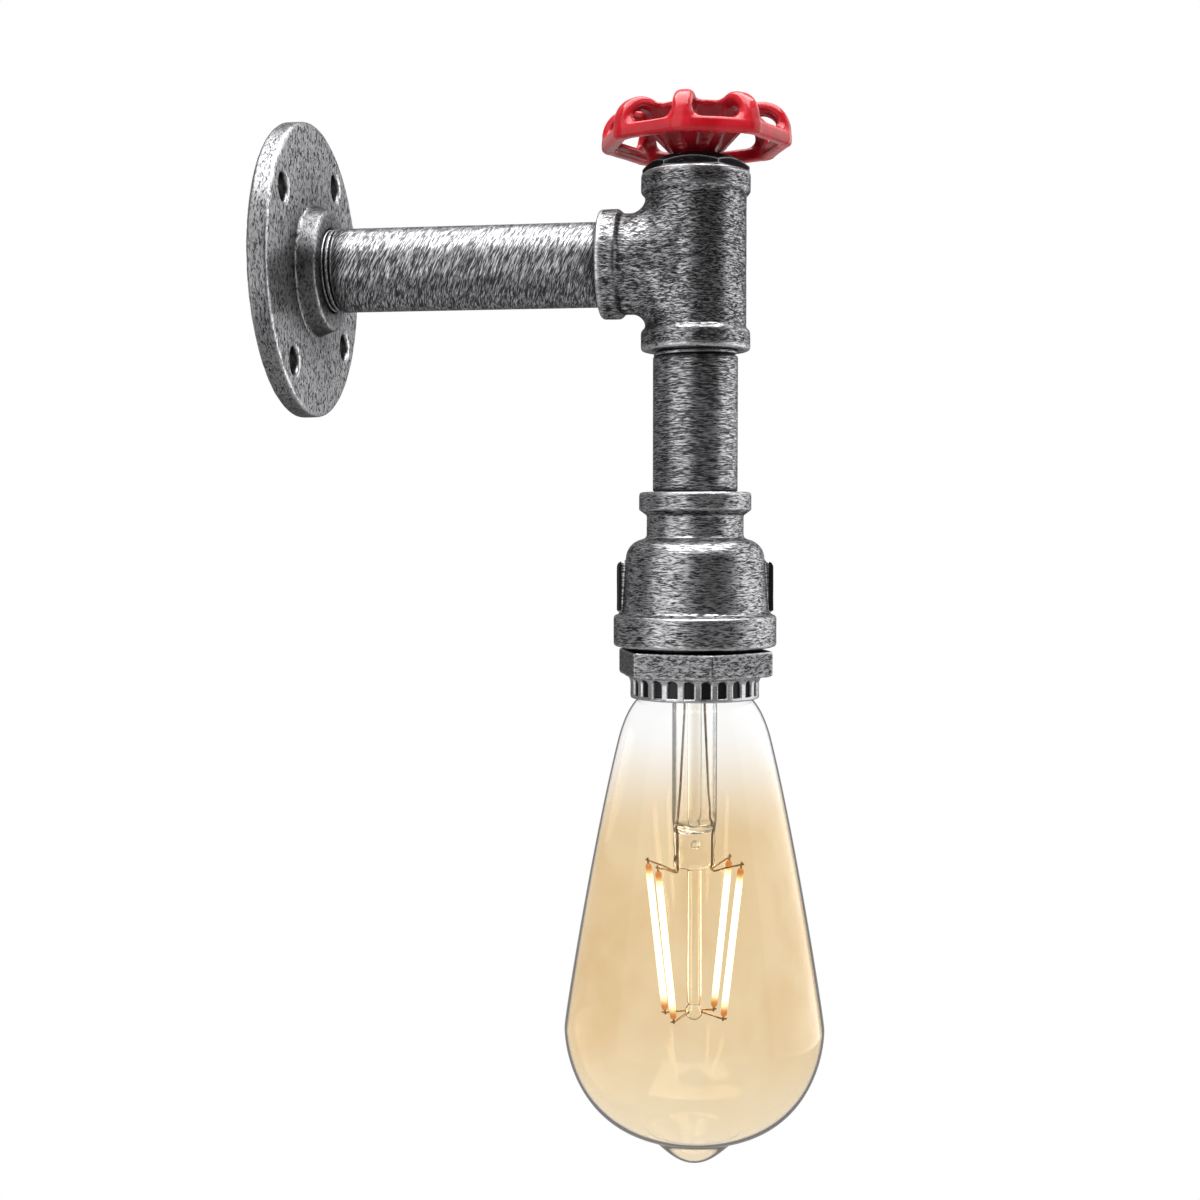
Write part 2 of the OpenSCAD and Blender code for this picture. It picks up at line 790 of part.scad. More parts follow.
module contact_rivet() {
    color("goldenrod")
        on_axis()
            union() {
                translate([0, 0, base_low - strip_t - 0.7])
                    cylinder(r = 2, h = 0.7);
                translate([0, 0, base_low - strip_t - 0.2])
                    cylinder(r = rivet_r, h = base_t + strip_t + 0.4);
                translate([0, 0, base_top])
                    cylinder(r = 2, h = 0.7);
            }
}

// Sprung strip, folded back under the rivet to meet the bulb's contact
module centre_contact() {
    strip_low = contact_top + 0.1;
    half = 6;
    color("goldenrod")
        on_axis()
            difference() {
                rotate([90, 0, 0])
                    linear_extrude(strip_w, center = true)
                        polygon(concat(
                            [[-half + 1, base_low], [-half + 1, base_low - strip_t], [half - 1.4, base_low - strip_t]],
                            arc([half - 1.4, (base_low + strip_low) / 2],
                                (base_low - strip_low) / 2 - strip_t, 90, -90, 8),
                            [[-3, strip_low + strip_t], [-3, strip_low]],
                            arc([half - 1.4, (base_low + strip_low) / 2], (base_low - strip_low) / 2, -90, 90, 8)));
                translate([0, 0, base_low - strip_t - 0.1])
                    cylinder(r = rivet_r + 0.1, h = 1);
            }
}

module screw_shell() {
    lip_in = 3;
    color("goldenrod")
        on_axis()
            rotate_extrude()
                polygon([
                    [shell_r, skirt_low + 5], [shell_r, base_low - 0.1], [shell_r - lip_in, base_low - 0.1],
                    [shell_r - lip_in, base_low - 0.1 - shell_t], [shell_bore_r, base_low - 0.1 - shell_t],
                    [shell_bore_r, skirt_low + 5]]);
}

module terminal_screws() {
    color("goldenrod")
        on_axis(base_top)
            for (side = [-1, 1])
                translate([side * terminal_offset, 0, 0])
                    small_screw(base_t - 1.5, 1.6);
}

// Hand-set places along the wires, x from the wall and z from the arm's axis
wire_end = flange_h - thread_grip;
wire_floor = -5.4;
wire_side = 2.6;
bend_places = [[-12, -5.4], [-6, -6.6], [-2.5, -10], [-1, -16]];

// Route of one wire at a distance y across the arm, ending at the points given
function wire_route(y, ends) = concat(
    [[wire_end, y, wire_floor], [reach * 0.3, y, wire_floor], [reach * 0.6, y, wire_floor]],
    [for (p = bend_places) [reach + p[0], y, p[1]]],
    [[reach, y, reducer_top * 0.5], [reach, y, reducer_top]],
    ends);

terminal_end = terminal_offset - small_head_d / 2 - wire_d / 2 - 0.1;

module line_wire() {
    color("saddlebrown")
        wire(smooth(wire_route(-wire_side, [
            [reach - 1, -wire_side, reducer_top - thread_grip],
            [reach - 3, -2.4, base_top + 3.4],
            [reach - terminal_end, -1.6, base_top + wire_d / 2 + 0.1]]), 3), wire_d);
}

module neutral_wire() {
    color("royalblue")
        wire(smooth(wire_route(wire_side, [
            [reach + 1, wire_side, reducer_top - thread_grip],
            [reach + 3, 2.4, base_top + 3.4],
            [reach + terminal_end, 1.6, base_top + wire_d / 2 + 0.1]]), 3), wire_d);
}

module earth_wire() {
    color("olivedrab")
        wire(smooth(earth_route, 3), wire_d, 8, [0.6, 0.8, 0]);
}

earth_route = [
    [wire_end, 0, 4.6], [reach * 0.3, 0, 4.6], [reach * 0.6, 0, 4.6], [reach - 8, 0, 4.2],
    [reach, 0.6, 1.5], [reach + 3.6, 1.4, -6], [reach + 4.2, 2, -16], [reach + 4, 3, reducer_top * 0.5],
    [reach + 3, 4.6, reducer_top], [reach + 1.6, 5.6, reducer_top - thread_grip],
    [reach + 0.4, 6.4, earth_roof + 0.4], [reach, 8.4, earth_roof - 1.4]
];

// Ring tongue with a short barrel on the end of the earth wire
module earth_lug() {
    color("silver")
        on_axis(earth_roof)
            translate([0, earth_place, -lug_t])
                difference() {
                    union() {
                        cylinder(d = small_head_d, h = lug_t);
                        translate([-1, -small_head_d / 2 - 1.2, 0])
                            cube([2, 2, lug_t]);
                    }
                    translate([0, 0, -1])
                        cylinder(d = small_screw_d + 0.2, h = 3);
                }
}

module earth_screw() {
    color("silver")
        on_axis(earth_roof - lug_t)
            translate([0, earth_place, 0])
                mirror([0, 0, 1])
                    small_screw(1.9, earth_head_h);
}

// Outline of the glass from the cap's inside down to the tip, drawn in by an inset
function glass_outline(inset) =
    let (
        neck = [neck_glass_d / 2 - inset, cap_rim + neck_in],
        flare = [neck_glass_d / 2 - inset, cap_rim + 0.8],
        bend = [neck_glass_d / 2 + 1.7 - inset, cap_rim - 1.9],
        shoulder = [shoulder_d / 2 - inset, cap_rim - shoulder_drop],
        widest = [bulb_d / 2 - inset, belly],
        root = [tip_d / 2 - inset, tip_root + inset],
        tip = [0, tip_low + inset],
        rise = (widest - shoulder) / 3,
        sweep = 0.4 * (bulb_d - tip_d) * [1, 0.27])
    concat(
        [neck, flare],
        curve(flare, flare - [0, 1.2], bend - [0.9, -0.7], bend, 5),
        curve(bend, bend + [2.3, -1.8], shoulder + [-1.2, 4.4], shoulder, 7),
        curve(shoulder, shoulder + [rise[0] * 1.36, rise[1]], widest - [0, rise[1] * 0.1], widest, 14),
        curve(widest, widest - [0, dome_h * 0.26], root + sweep, root, 14),
        curve(root, root - sweep / 4, tip + [tip_d * 0.23, 0], tip, 8));

module bulb_glass() {
    outer = glass_outline(0);
    inner = glass_outline(glass_t);
    count = len(inner);
    color([0.9, 0.75, 0.5, 0.4])
        on_axis()
            rotate_extrude()
                polygon(concat(outer, [for (i = [1:count]) inner[count - i]]));
}

// Flared tube sealed to the neck, flattened press, rod and end bead
module bulb_stem() {
    stem_r = stem_d / 2;
    stem_bore_r = stem_r - stem_wall;
    flare_r = neck_glass_d / 2 - glass_t - 0.1;
    flare_z = cap_rim + 2;
    color([0.9, 0.95, 0.95, 0.4])
        on_axis()
            union() {
                rotate_extrude()
                    polygon(concat(
                        [[flare_r, flare_z + stem_wall], [flare_r, flare_z]],
                        arc([stem_r + 3, flare_z - 3], 3, 90, 180),
                        [[stem_r, press_top], [stem_bore_r, press_top]],
                        arc([stem_r + 3, flare_z - 3], 3 + stem_wall, 180, 90)));
                translate([0, 0, press_low])
                    rotate(filament_turn)
                        intersection() {
                            cylinder(r = stem_r - 0.3, h = press_h + 0.5);
                            translate([-stem_d, -press_t / 2, 0])
                                cube([2 * stem_d, press_t, press_h + 2]);
                        }
                translate([0, 0, press_top - 0.8])
                    cylinder(r = stem_r - 0.2, h = 1.6);
                translate([0, 0, rod_low])
                    cylinder(d = rod_d, h = press_low - rod_low + 0.5);
                translate([0, 0, rod_low])
                    sphere(d = bead_d);
                difference() {
                    translate([0, 0, press_top])
                        cylinder(d = rod_d, h = flare_z + 4 - press_top);
                    translate([0, 0, press_top + 1])
                        cylinder(d = rod_d - 1.2, h = flare_z + 6 - press_top);
                }
            }
}

// Corners of the square of filaments, at the top and at the bottom
corners = [[1, 1], [1, -1], [-1, 1], [-1, -1]];
function filament_end(corner, half, z) = [corner[0] * half[0], corner[1] * half[1], z];

module filaments() {
    color("moccasin")
        on_axis()
            rotate(filament_turn)
                for (corner = corners) {
                    high = filament_end(corner, filament_top, filament_high);
                    low = filament_end(corner, filament_low, filament_bottom);
                    lean = high - low;
                    translate(low)
                        rotate([0, acos(lean[2] / norm(lean)), atan2(lean[1], lean[0])])
                            cylinder(d = filament_d, h = norm(lean));
                }
}

// Lead wires from the driver down the stem tube to the press
module lead_wires() {
    in_stem = stem_d / 2 - stem_wall - lead_d / 2 - 0.3;
    color("silver")
        on_axis()
            rotate(filament_turn)
                for (side = [-1, 1])
                    wire([
                        [side * in_stem, 0, press_top + 0.9], [side * in_stem, 0, press_top + 8],
                        [side * 2.6, 0, cap_rim - 8], [side * 2.6, 0, cap_rim + 5]],
                        lead_d, 6);
}

// Wires from the press to the tops of the filaments, and from the bead to their feet
module filament_hooks() {
    press_side = stem_d / 2 - 1.2;
    reach_over = lead_d / 2 + 0.2;
    color("silver")
        on_axis()
            rotate(filament_turn)
                for (corner = corners) {
                    high = filament_end(corner, filament_top, filament_high);
                    low = filament_end(corner, filament_low, filament_bottom);
                    wire([
                        [corner[0] * press_side, corner[1] * 1.2, press_low - lead_d / 2 - 0.05],
                        [(corner[0] * press_side + high[0]) / 2, high[1] * 0.6, press_low - 0.3],
                        [high[0] * 0.88, high[1] * 0.85, high[2] + reach_over],
                        high + [0, 0, reach_over]], lead_d, 6, [0, 0, 1]);
                    wire([
                        low - [0, 0, reach_over], low * 0.75 + [0, 0, (rod_low - 1) * 0.25],
                        [corner[0] * (bead_d / 2 + 0.2), corner[1] * 1, rod_low]], lead_d, 6, [0, 0, 1]);
                }
}

module bulb_cap() {
    shoulder = contact_top - 5;
    color("silver")
        on_axis()
            rotate_extrude()
                polygon([
                    [insulator_r, shoulder], [insulator_r + 0.4, shoulder + 0.4], [cap_r - 0.8, shoulder - 0.6],
                    [cap_r, shoulder - 2], [cap_r, cap_rim], [cap_r - cap_wall, cap_rim],
                    [cap_r - cap_wall, shoulder - 2.2], [cap_r - 1.1, shoulder - 1],
                    [insulator_r, shoulder - cap_wall]]);
}

// Radius of the dark insulator where the cap's metal grips it
insulator_r = cap_r - 3.1;

module cap_insulator() {
    shoulder = contact_top - 5;
    color("black")
        on_axis()
            rotate_extrude()
                polygon([
                    [contact_d / 2 - 1, contact_top - 1.2], [contact_d / 2 + 0.6, contact_top - 1.2],
                    [insulator_r - 0.1, shoulder + 0.2], [insulator_r - 0.1, shoulder - 1],
                    [contact_d / 2 - 1, shoulder - 1]]);
}

// Soldered centre contact on its stub
module cap_contact() {
    color("silver")
        on_axis()
            rotate_extrude()
                polygon(concat(
                    [[0, contact_top - 5.5], [contact_d / 2 - 1.3, contact_top - 5.5],
                        [contact_d / 2 - 1.3, contact_top - 1], [contact_d / 2, contact_top - 1]],
                    curve([contact_d / 2, contact_top - 1], [contact_d / 2, contact_top - 0.4],
                        [contact_d / 4, contact_top], [0, contact_top], 6)));
}

// Small circuit board that stands on the end of the glass neck, inside the cap
board_place = 2.8;
board_t = 1;
board_h = cap_h * 0.4;
board_half = sqrt(pow((neck_glass_d - glass_t) / 2, 2) - pow(board_place, 2));
capacitor_d = cap_d * 0.23;

module driver_board() {
    color("seagreen")
        on_axis()
            translate([-board_half, board_place, cap_rim + neck_in])
                cube([2 * board_half, board_t, board_h]);
}

module driver_capacitor() {
    color("darkslategray")
        on_axis()
            translate([-3, board_place + board_t + capacitor_d / 2, cap_rim + neck_in + 1])
                cylinder(d = capacitor_d, h = board_h * 0.8);
}

wall_flange();
arm_pipe();
tee_fitting();
top_plug();
wheel_washer();
wheel_bolt();
handwheel();
drop_pipe();
bell_reducer();
hexagon_bush();
holder_skirt();
holder_liner();
holder_base();
screw_shell();
centre_contact();
contact_rivet();
terminal_screws();
line_wire();
neutral_wire();
earth_wire();
earth_lug();
earth_screw();
bulb_glass();
bulb_stem();
lead_wires();
filament_hooks();
filaments();
bulb_cap();
cap_insulator();
cap_contact();
driver_board();
driver_capacitor();
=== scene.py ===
import math

import bmesh
import bpy
import numpy as np
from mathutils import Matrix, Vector, noise


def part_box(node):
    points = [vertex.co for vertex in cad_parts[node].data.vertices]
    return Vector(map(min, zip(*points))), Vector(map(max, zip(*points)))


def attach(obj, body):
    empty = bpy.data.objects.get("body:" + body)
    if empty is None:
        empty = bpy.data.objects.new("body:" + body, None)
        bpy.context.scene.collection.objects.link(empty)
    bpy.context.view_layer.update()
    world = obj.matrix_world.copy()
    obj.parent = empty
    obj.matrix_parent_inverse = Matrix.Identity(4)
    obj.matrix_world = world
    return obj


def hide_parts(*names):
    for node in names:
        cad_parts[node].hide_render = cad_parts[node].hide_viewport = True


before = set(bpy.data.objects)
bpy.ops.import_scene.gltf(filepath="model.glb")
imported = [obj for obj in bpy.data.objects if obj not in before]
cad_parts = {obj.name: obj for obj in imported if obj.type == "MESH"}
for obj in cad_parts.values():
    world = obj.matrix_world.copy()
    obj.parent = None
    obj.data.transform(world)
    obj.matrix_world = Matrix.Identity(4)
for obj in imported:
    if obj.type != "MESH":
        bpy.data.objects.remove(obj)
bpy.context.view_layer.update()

mm = 0.001
lampX = 102.5  # upright axis of the lamp, mm from the wall
lampAxis = (lampX * mm, 0, 0)
print("frame loaded:", len(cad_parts), "nodes")


def addObject(name, data):
    made = bpy.data.objects.new(name, data)
    bpy.context.scene.collection.objects.link(made)
    return made


# direction from the lamp, in degrees right of the front and above level
def directionOf(turn, rise):
    turn, rise = math.radians(turn), math.radians(rise)
    return Vector((math.sin(turn) * math.cos(rise), -math.cos(turn) * math.cos(rise), math.sin(rise)))


# camera of the photo
photoView = {"azimuth": 9.02, "elevation": 2.37, "place": (0.148, -0.4371, -0.0651), "lens": 53.0, "sensor": 36.0}


def setCamera(view):
    data = bpy.data.cameras.new("camera")
    data.lens = view["lens"]
    data.sensor_width = view["sensor"]
    camera = addObject("camera", data)
    camera.location = view["place"]
    camera.rotation_euler = directionOf(view["azimuth"], view["elevation"]).to_track_quat("Z", "Y").to_euler()
    bpy.context.scene.camera = camera


setCamera(photoView)
bpy.context.scene.view_settings.view_transform = "Standard"


# node building
def addNode(tree, kind, values=None, **settings):
    made = tree.nodes.new(kind)
    for key, value in settings.items():
        setattr(made, key, value)
    for key, value in (values or {}).items():
        if isinstance(value, bpy.types.NodeSocket):
            tree.links.new(value, made.inputs[key])
        else:
            made.inputs[key].default_value = value
    return made


def calc(tree, operation, *values, clamp=False):
    made = addNode(tree, "ShaderNodeMath", dict(enumerate(values)), operation=operation, use_clamp=clamp)
    return made.outputs[0]


def calcVector(tree, operation, first, second):
    key = "Scale" if operation == "SCALE" else 1
    return addNode(tree, "ShaderNodeVectorMath", {0: first, key: second}, operation=operation).outputs[0]


def lengthOf(tree, vector):
    return addNode(tree, "ShaderNodeVectorMath", {0: vector}, operation="LENGTH").outputs["Value"]


def axesOf(tree, vector):
    return addNode(tree, "ShaderNodeSeparateXYZ", {0: vector}).outputs


def spotOf(tree):
    return addNode(tree, "ShaderNodeTexCoord").outputs["Object"]


def mixColour(tree, share, first, second):
    made = addNode(tree, "ShaderNodeMix", {0: share, 6: first, 7: second}, data_type="RGBA")
    return made.outputs[2]


def ease(tree, value, low, high, start=0.0, end=1.0):
    made = addNode(tree, "ShaderNodeMapRange", {0: value, 1: low, 2: high, 3: start, 4: end},
                   interpolation_type="SMOOTHSTEP")
    return made.outputs[0]


def cloud(tree, vector, count, detail=2.0, rough=0.5, warp=0.0):
    return addNode(tree, "ShaderNodeTexNoise", {
        "Vector": vector, "Scale": count, "Detail": detail, "Roughness": rough, "Distortion": warp}).outputs


mostly, partly = (0.2, 0.8), (0.3, 0.7)  # how much of a cloud's range a change takes


def newGroup(name, inputs, outputs):
    tree = bpy.data.node_groups.new(name, "ShaderNodeTree")
    for label, kind, value in inputs:
        socket = tree.interface.new_socket(name=label, in_out="INPUT", socket_type="NodeSocket" + kind)
        socket.default_value = value
    for label, kind in outputs:
        tree.interface.new_socket(name=label, in_out="OUTPUT", socket_type="NodeSocket" + kind)
    return tree, tree.nodes.new("NodeGroupInput").outputs, tree.nodes.new("NodeGroupOutput").inputs


def newMaterial(name, values):
    material = bpy.data.materials.new(name)
    material.use_nodes = True
    tree = material.node_tree
    tree.nodes.clear()
    shader = addNode(tree, "ShaderNodeBsdfPrincipled", values)
    addNode(tree, "ShaderNodeOutputMaterial", {"Surface": shader.outputs[0]})
    return material, tree, shader


def feed(tree, shader, **sockets):
    for key, socket in sockets.items():
        tree.links.new(socket, shader.inputs[key.replace("_", " ")])


def bump(tree, height, strength, depth=0.0002):
    return addNode(tree, "ShaderNodeBump", {
        "Height": height, "Strength": strength, "Distance": depth}).outputs[0]


# brightness of what a mirror image shows, where 1 is the brightness seen directly or through glass
def mirrorLevel(tree, path, gain):
    mirrored = calc(tree, "SUBTRACT", path["Is Glossy Ray"], path["Is Transmission Ray"], clamp=True)
    return calc(tree, "MULTIPLY_ADD", mirrored, gain - 1.0, 1.0)


# silver paint dragged over black: strokes along the directions with a low count
brush = {"drift": 330.0, "worn": 170.0, "hairs": 1.8, "hairShare": 0.5}


def makeBrushStrokes(b):
    tree, given, out = newGroup("brushStrokes", [
        ("Count", "Vector", (200.0, 200.0, 1100.0)), ("Slant", "Float", 0.0), ("Waver", "Float", 0.001),
        ("Cover", "Float", 0.5), ("Patches", "Float", 0.3), ("Softness", "Float", 0.08)],
        [("Silver", "Float"), ("Grain", "Float")])
    spot = spotOf(tree)
    axes = axesOf(tree, spot)
    leaned = calc(tree, "MULTIPLY_ADD", axes[2], given["Slant"], axes[0])
    sheared = addNode(tree, "ShaderNodeCombineXYZ", {0: leaned, 1: axes[1], 2: axes[2]}).outputs[0]
    drift = calcVector(tree, "SUBTRACT", cloud(tree, spot, b["drift"])["Color"], (0.5, 0.5, 0.5))
    wavy = calcVector(tree, "ADD", sheared, calcVector(tree, "SCALE", drift, given["Waver"]))
    counted = calcVector(tree, "MULTIPLY", wavy, given["Count"])
    broad = cloud(tree, counted, 1.0, detail=3.0, rough=0.6, warp=0.4)[0]
    hairs = cloud(tree, counted, b["hairs"], rough=0.6, warp=0.2)[0]
    worn = calc(tree, "SUBTRACT", cloud(tree, spot, b["worn"], detail=3.0, rough=0.6)[0], 0.5)
    body = calc(tree, "MULTIPLY", broad, 1.0 - b["hairShare"])
    layered = calc(tree, "MULTIPLY_ADD", hairs, b["hairShare"], body)
    total = calc(tree, "MULTIPLY_ADD", worn, given["Patches"], layered)
    bare = calc(tree, "SUBTRACT", 1.0, given["Cover"])
    silver = ease(tree, total, calc(tree, "SUBTRACT", bare, given["Softness"]),
                  calc(tree, "ADD", bare, given["Softness"]))
    tree.links.new(silver, out["Silver"])
    tree.links.new(layered, out["Grain"])
    return tree


# rubbed outer edges, with a painted highlight along them; darker recesses, partly real dark joints and hollows,
# partly painted shade
wearAndShadeLook = {"samples": 8, "rubbedAndGlint": (0.96, 0.7), "chips": 900.0, "chipped": (0.25, 0.45), "shaded": (0.86, 0.42)}


def makeEdgeWearAndShade(w):
    tree, given, out = newGroup("edgeWearAndShade", [
        ("Edge Reach", "Float", 0.0006), ("Recess Reach", "Float", 0.002)],
        [("Edge", "Float"), ("Recess", "Float")])
    # edge mask from ambient occlusion inside the solid: rubbed edges, and a painted highlight along them
    inner = addNode(tree, "ShaderNodeAmbientOcclusion", {"Distance": given["Edge Reach"]},
                    inside=True, only_local=True, samples=w["samples"]).outputs["AO"]
    # recess mask from ambient occlusion: partly real dark joints and hollows, partly painted shade
    outer = addNode(tree, "ShaderNodeAmbientOcclusion", {"Distance": given["Recess Reach"]},
                    samples=w["samples"]).outputs["AO"]
    chips = cloud(tree, spotOf(tree), w["chips"])[0]
    rubbedAndGlint = calc(tree, "MULTIPLY", ease(tree, inner, *w["rubbedAndGlint"]), ease(tree, chips, *w["chipped"]))
    tree.links.new(rubbedAndGlint, out["Edge"])
    tree.links.new(ease(tree, outer, *w["shaded"]), out["Recess"])
    return tree


brushStrokes = makeBrushStrokes(brush)
edgeWearAndShade = makeEdgeWearAndShade(wearAndShadeLook)


def silveredMetal(name, look):
    material, tree, shader = newMaterial(name, {"Metallic": 1.0, "Specular Tint": look["grazing"]})
    strokes = addNode(tree, "ShaderNodeGroup", {
        "Count": look["count"], "Slant": look["slant"], "Waver": look["waver"], "Cover": look["cover"],
        "Patches": look["patches"], "Softness": look["softness"]}, node_tree=brushStrokes).outputs
    wornAndShaded = addNode(tree, "ShaderNodeGroup", {
        "Edge Reach": look["edgeReach"], "Recess Reach": look["recessReach"]}, node_tree=edgeWearAndShade).outputs
    # less silver in recesses: partly real hollows, partly painted shade
    clearOfHollowShade = calc(tree, "SUBTRACT", 1.0, calc(tree, "MULTIPLY", wornAndShaded["Recess"], look["recess"]))
    painted = calc(tree, "MULTIPLY", strokes["Silver"], clearOfHollowShade)
    # bright colour on the edges: rubbed silver and a painted highlight
    rubbedAndGlint = calc(tree, "MULTIPLY", wornAndShaded["Edge"], look["edge"])
    if "silverOn" in look:
        kept = look["silverOn"](tree)
        painted, rubbedAndGlint = calc(tree, "MULTIPLY", painted, kept), calc(tree, "MULTIPLY", rubbedAndGlint, kept)
    tone = mixColour(tree, painted, look["black"], look["silver"])
    shiny = calc(tree, "MAXIMUM", painted, rubbedAndGlint)
    feed(tree, shader,
         Base_Color=mixColour(tree, rubbedAndGlint, tone, look["bright"]),
         Roughness=ease(tree, shiny, 0.0, 1.0, look["roughBlack"], look["roughSilver"]),
         Normal=bump(tree, strokes["Grain"], look["bump"]))
    return material


# distance from the arm's axis
def fromArm(tree):
    return lengthOf(tree, calcVector(tree, "MULTIPLY", spotOf(tree), (0, 1, 1)))


# distance from the lamp's axis, and height
def fromLamp(tree):
    axes = axesOf(tree, calcVector(tree, "SUBTRACT", spotOf(tree), lampAxis))
    flat = addNode(tree, "ShaderNodeCombineXYZ", {0: axes[0], 1: axes[1]}).outputs[0]
    return lengthOf(tree, flat), axes[2]


# where the silver takes, in metres: not in the pipes' thread grooves or on the floors of the skirt's slots
threadSides = (0.0098, 0.0102)
slotSides = (0.01545, 0.01575)


def armGrooves(tree):
    return ease(tree, fromArm(tree), *threadSides)


def dropGrooves(tree):
    return ease(tree, fromLamp(tree)[0], *threadSides)


def slotFloors(tree):
    return ease(tree, fromLamp(tree)[0], *slotSides)


# not in the flange's screw holes, and less on its rim, its boss and around the boss than on its face: painted shade
# in the holes, on the sides and around the boss
flangeParts = {"holeTurn": 10.0, "holeAt": 0.02086, "holeSides": (0.0031, 0.0034), "facing": (0.3, 0.9),
               "shadedSides": 0.32, "bossReach": (0.014, 0.031), "shadedNearBoss": 0.55}


def flangeShade(tree):
    p = flangeParts
    level = addNode(tree, "ShaderNodeVectorRotate", {
        "Vector": spotOf(tree), "Angle": math.radians(-p["holeTurn"])}, rotation_type="X_AXIS").outputs[0]
    folded = addNode(tree, "ShaderNodeVectorMath", {0: level}, operation="ABSOLUTE").outputs[0]
    fromHole = calcVector(tree, "SUBTRACT", folded, (0, p["holeAt"], p["holeAt"]))
    away = lengthOf(tree, calcVector(tree, "MULTIPLY", fromHole, (0, 1, 1)))
    normal = addNode(tree, "ShaderNodeNewGeometry").outputs["Normal"]
    facing = calc(tree, "ABSOLUTE", axesOf(tree, normal)[0])
    # painted shade: less silver on faces that do not face along the arm
    onFace = ease(tree, facing, *p["facing"], p["shadedSides"], 1.0)
    outward = ease(tree, fromArm(tree), *p["bossReach"], p["shadedNearBoss"], 1.0)
    return calc(tree, "MULTIPLY", ease(tree, away, *p["holeSides"]), calc(tree, "MULTIPLY", onFace, outward))


# not on the side ribs of the reducer, above its lip
ribParts = {"proud": (0.0181, 0.0184), "lipTop": (-0.0862, -0.0857)}


def sideRibs(tree):
    away, height = fromLamp(tree)
    ribs = calc(tree, "MULTIPLY", ease(tree, away, *ribParts["proud"]), ease(tree, height, *ribParts["lipTop"]))
    return calc(tree, "SUBTRACT", 1.0, ribs)


paint = {"black": (0.026, 0.026, 0.0272, 1), "silver": (0.49, 0.49, 0.505, 1), "bright": (0.78, 0.78, 0.79, 1),
         "grazing": (0.5, 0.5, 0.5, 1), "roughBlack": 0.4, "roughSilver": 0.33, "softness": 0.088, "bump": 0.14}
castLook = {**paint, "count": (520.0, 520.0, 3200.0), "slant": 0.1, "waver": 0.0012, "cover": 0.46,
            "patches": 0.08, "silver": (0.45, 0.45, 0.464, 1), "edgeReach": 0.0016, "edge": 0.9,
            "recessReach": 0.0022, "recess": 0.95}
# lighter silver than the other castings, brightening the flange's face: painted light
flangeLook = {**castLook, "count": (2100.0, 1000.0, 560.0), "slant": 0.0, "waver": 0.0018, "cover": 0.525,
              "softness": 0.07, "silver": (0.63, 0.63, 0.645, 1), "grazing": (0.45, 0.45, 0.45, 1),
              "edgeReach": 0.0012, "recessReach": 0.008, "silverOn": flangeShade}
# darker silver than the other castings, dimming the bush: painted shade
bushLook = {**castLook, "count": (520.0, 520.0, 1900.0), "slant": 0.0, "waver": 0.0016, "cover": 0.5,
            "silver": (0.23, 0.23, 0.237, 1), "edgeReach": 0.0007, "recessReach": 0.0016}
bellLook = {**castLook, "count": (370.0, 370.0, 3500.0), "slant": 0.0, "waver": 0.001, "cover": 0.49,
            "silver": (0.49, 0.49, 0.505, 1), "edgeReach": 0.0011, "silverOn": sideRibs}
armLook = {**paint, "black": (0.036, 0.036, 0.038, 1), "silver": (0.53, 0.53, 0.545, 1),
           "grazing": (0.62, 0.62, 0.62, 1), "softness": 0.1, "count": (3300.0, 340.0, 340.0), "slant": -0.42,
           "waver": 0.0007, "cover": 0.45, "patches": 0.08, "edgeReach": 0.0004, "edge": 0.8,
           "recessReach": 0.001, "recess": 0.5, "silverOn": armGrooves}
dropLook = {**armLook, "count": (320.0, 320.0, 3400.0), "slant": 0.0, "waver": 0.0008, "cover": 0.46,
            "silverOn": dropGrooves}
plugLook = {**castLook, "black": (0.01, 0.01, 0.011, 1), "cover": 0.34, "edgeReach": 0.0005, "edge": 0.4}
skirtLook = {**castLook, "edgeReach": 0.0003, "recessReach": 0.0006, "cover": 0.6, "recess": 0.4,
             "silverOn": slotFloors}

flangeMetal = silveredMetal("silvered_flange", flangeLook)
castMetal = silveredMetal("silvered_casting", castLook)
bellMetal = silveredMetal("silvered_bell", bellLook)
bushMetal = silveredMetal("silvered_bush", bushLook)
armMetal = silveredMetal("silvered_arm", armLook)
dropMetal = silveredMetal("silvered_drop", dropLook)
skirtMetal = silveredMetal("silvered_skirt", skirtLook)
blackIron = silveredMetal("black_iron", plugLook)


# red enamel, thin on the edges, with painted shade: deep maroon in the corners and wherever other surfaces are near
enamelLook = {"red": (0.32, 0.004, 0.009, 1), "bright": (0.43, 0.012, 0.02, 1), "deep": (0.1, 0.003, 0.007, 1),
              "rough": (0.18, 0.3), "coat": 0.15, "coatRough": 0.08, "gloss": 0.2, "edgeReach": 0.0008, "edge": 0.5,
              "recessReach": 0.012, "recess": 0.8, "flow": 160.0, "peel": 1100.0, "bump": 0.12, "depth": 0.0003}


def redEnamel(look):
    material, tree, shader = newMaterial("red_enamel", {
        "Metallic": 0.0, "Coat Weight": look["coat"], "Coat Roughness": look["coatRough"],
        "Specular IOR Level": look["gloss"]})
    spot = spotOf(tree)
    wornAndShaded = addNode(tree, "ShaderNodeGroup", {
        "Edge Reach": look["edgeReach"], "Recess Reach": look["recessReach"]}, node_tree=edgeWearAndShade).outputs
    flow = cloud(tree, spot, look["flow"])[0]
    peel = cloud(tree, spot, look["peel"], detail=1.0)[0]
    tone = mixColour(tree, ease(tree, flow, *partly), look["red"], look["bright"])
    tone = mixColour(tree, calc(tree, "MULTIPLY", wornAndShaded["Edge"], look["edge"]), tone, look["bright"])
    # painted shade: deep maroon where the recess mask is high
    tone = mixColour(tree, calc(tree, "MULTIPLY", wornAndShaded["Recess"], look["recess"]), tone, look["deep"])
    feed(tree, shader, Base_Color=tone, Roughness=ease(tree, flow, *mostly, *look["rough"]),
         Normal=bump(tree, peel, look["bump"], look["depth"]))
    return material


enamel = redEnamel(enamelLook)

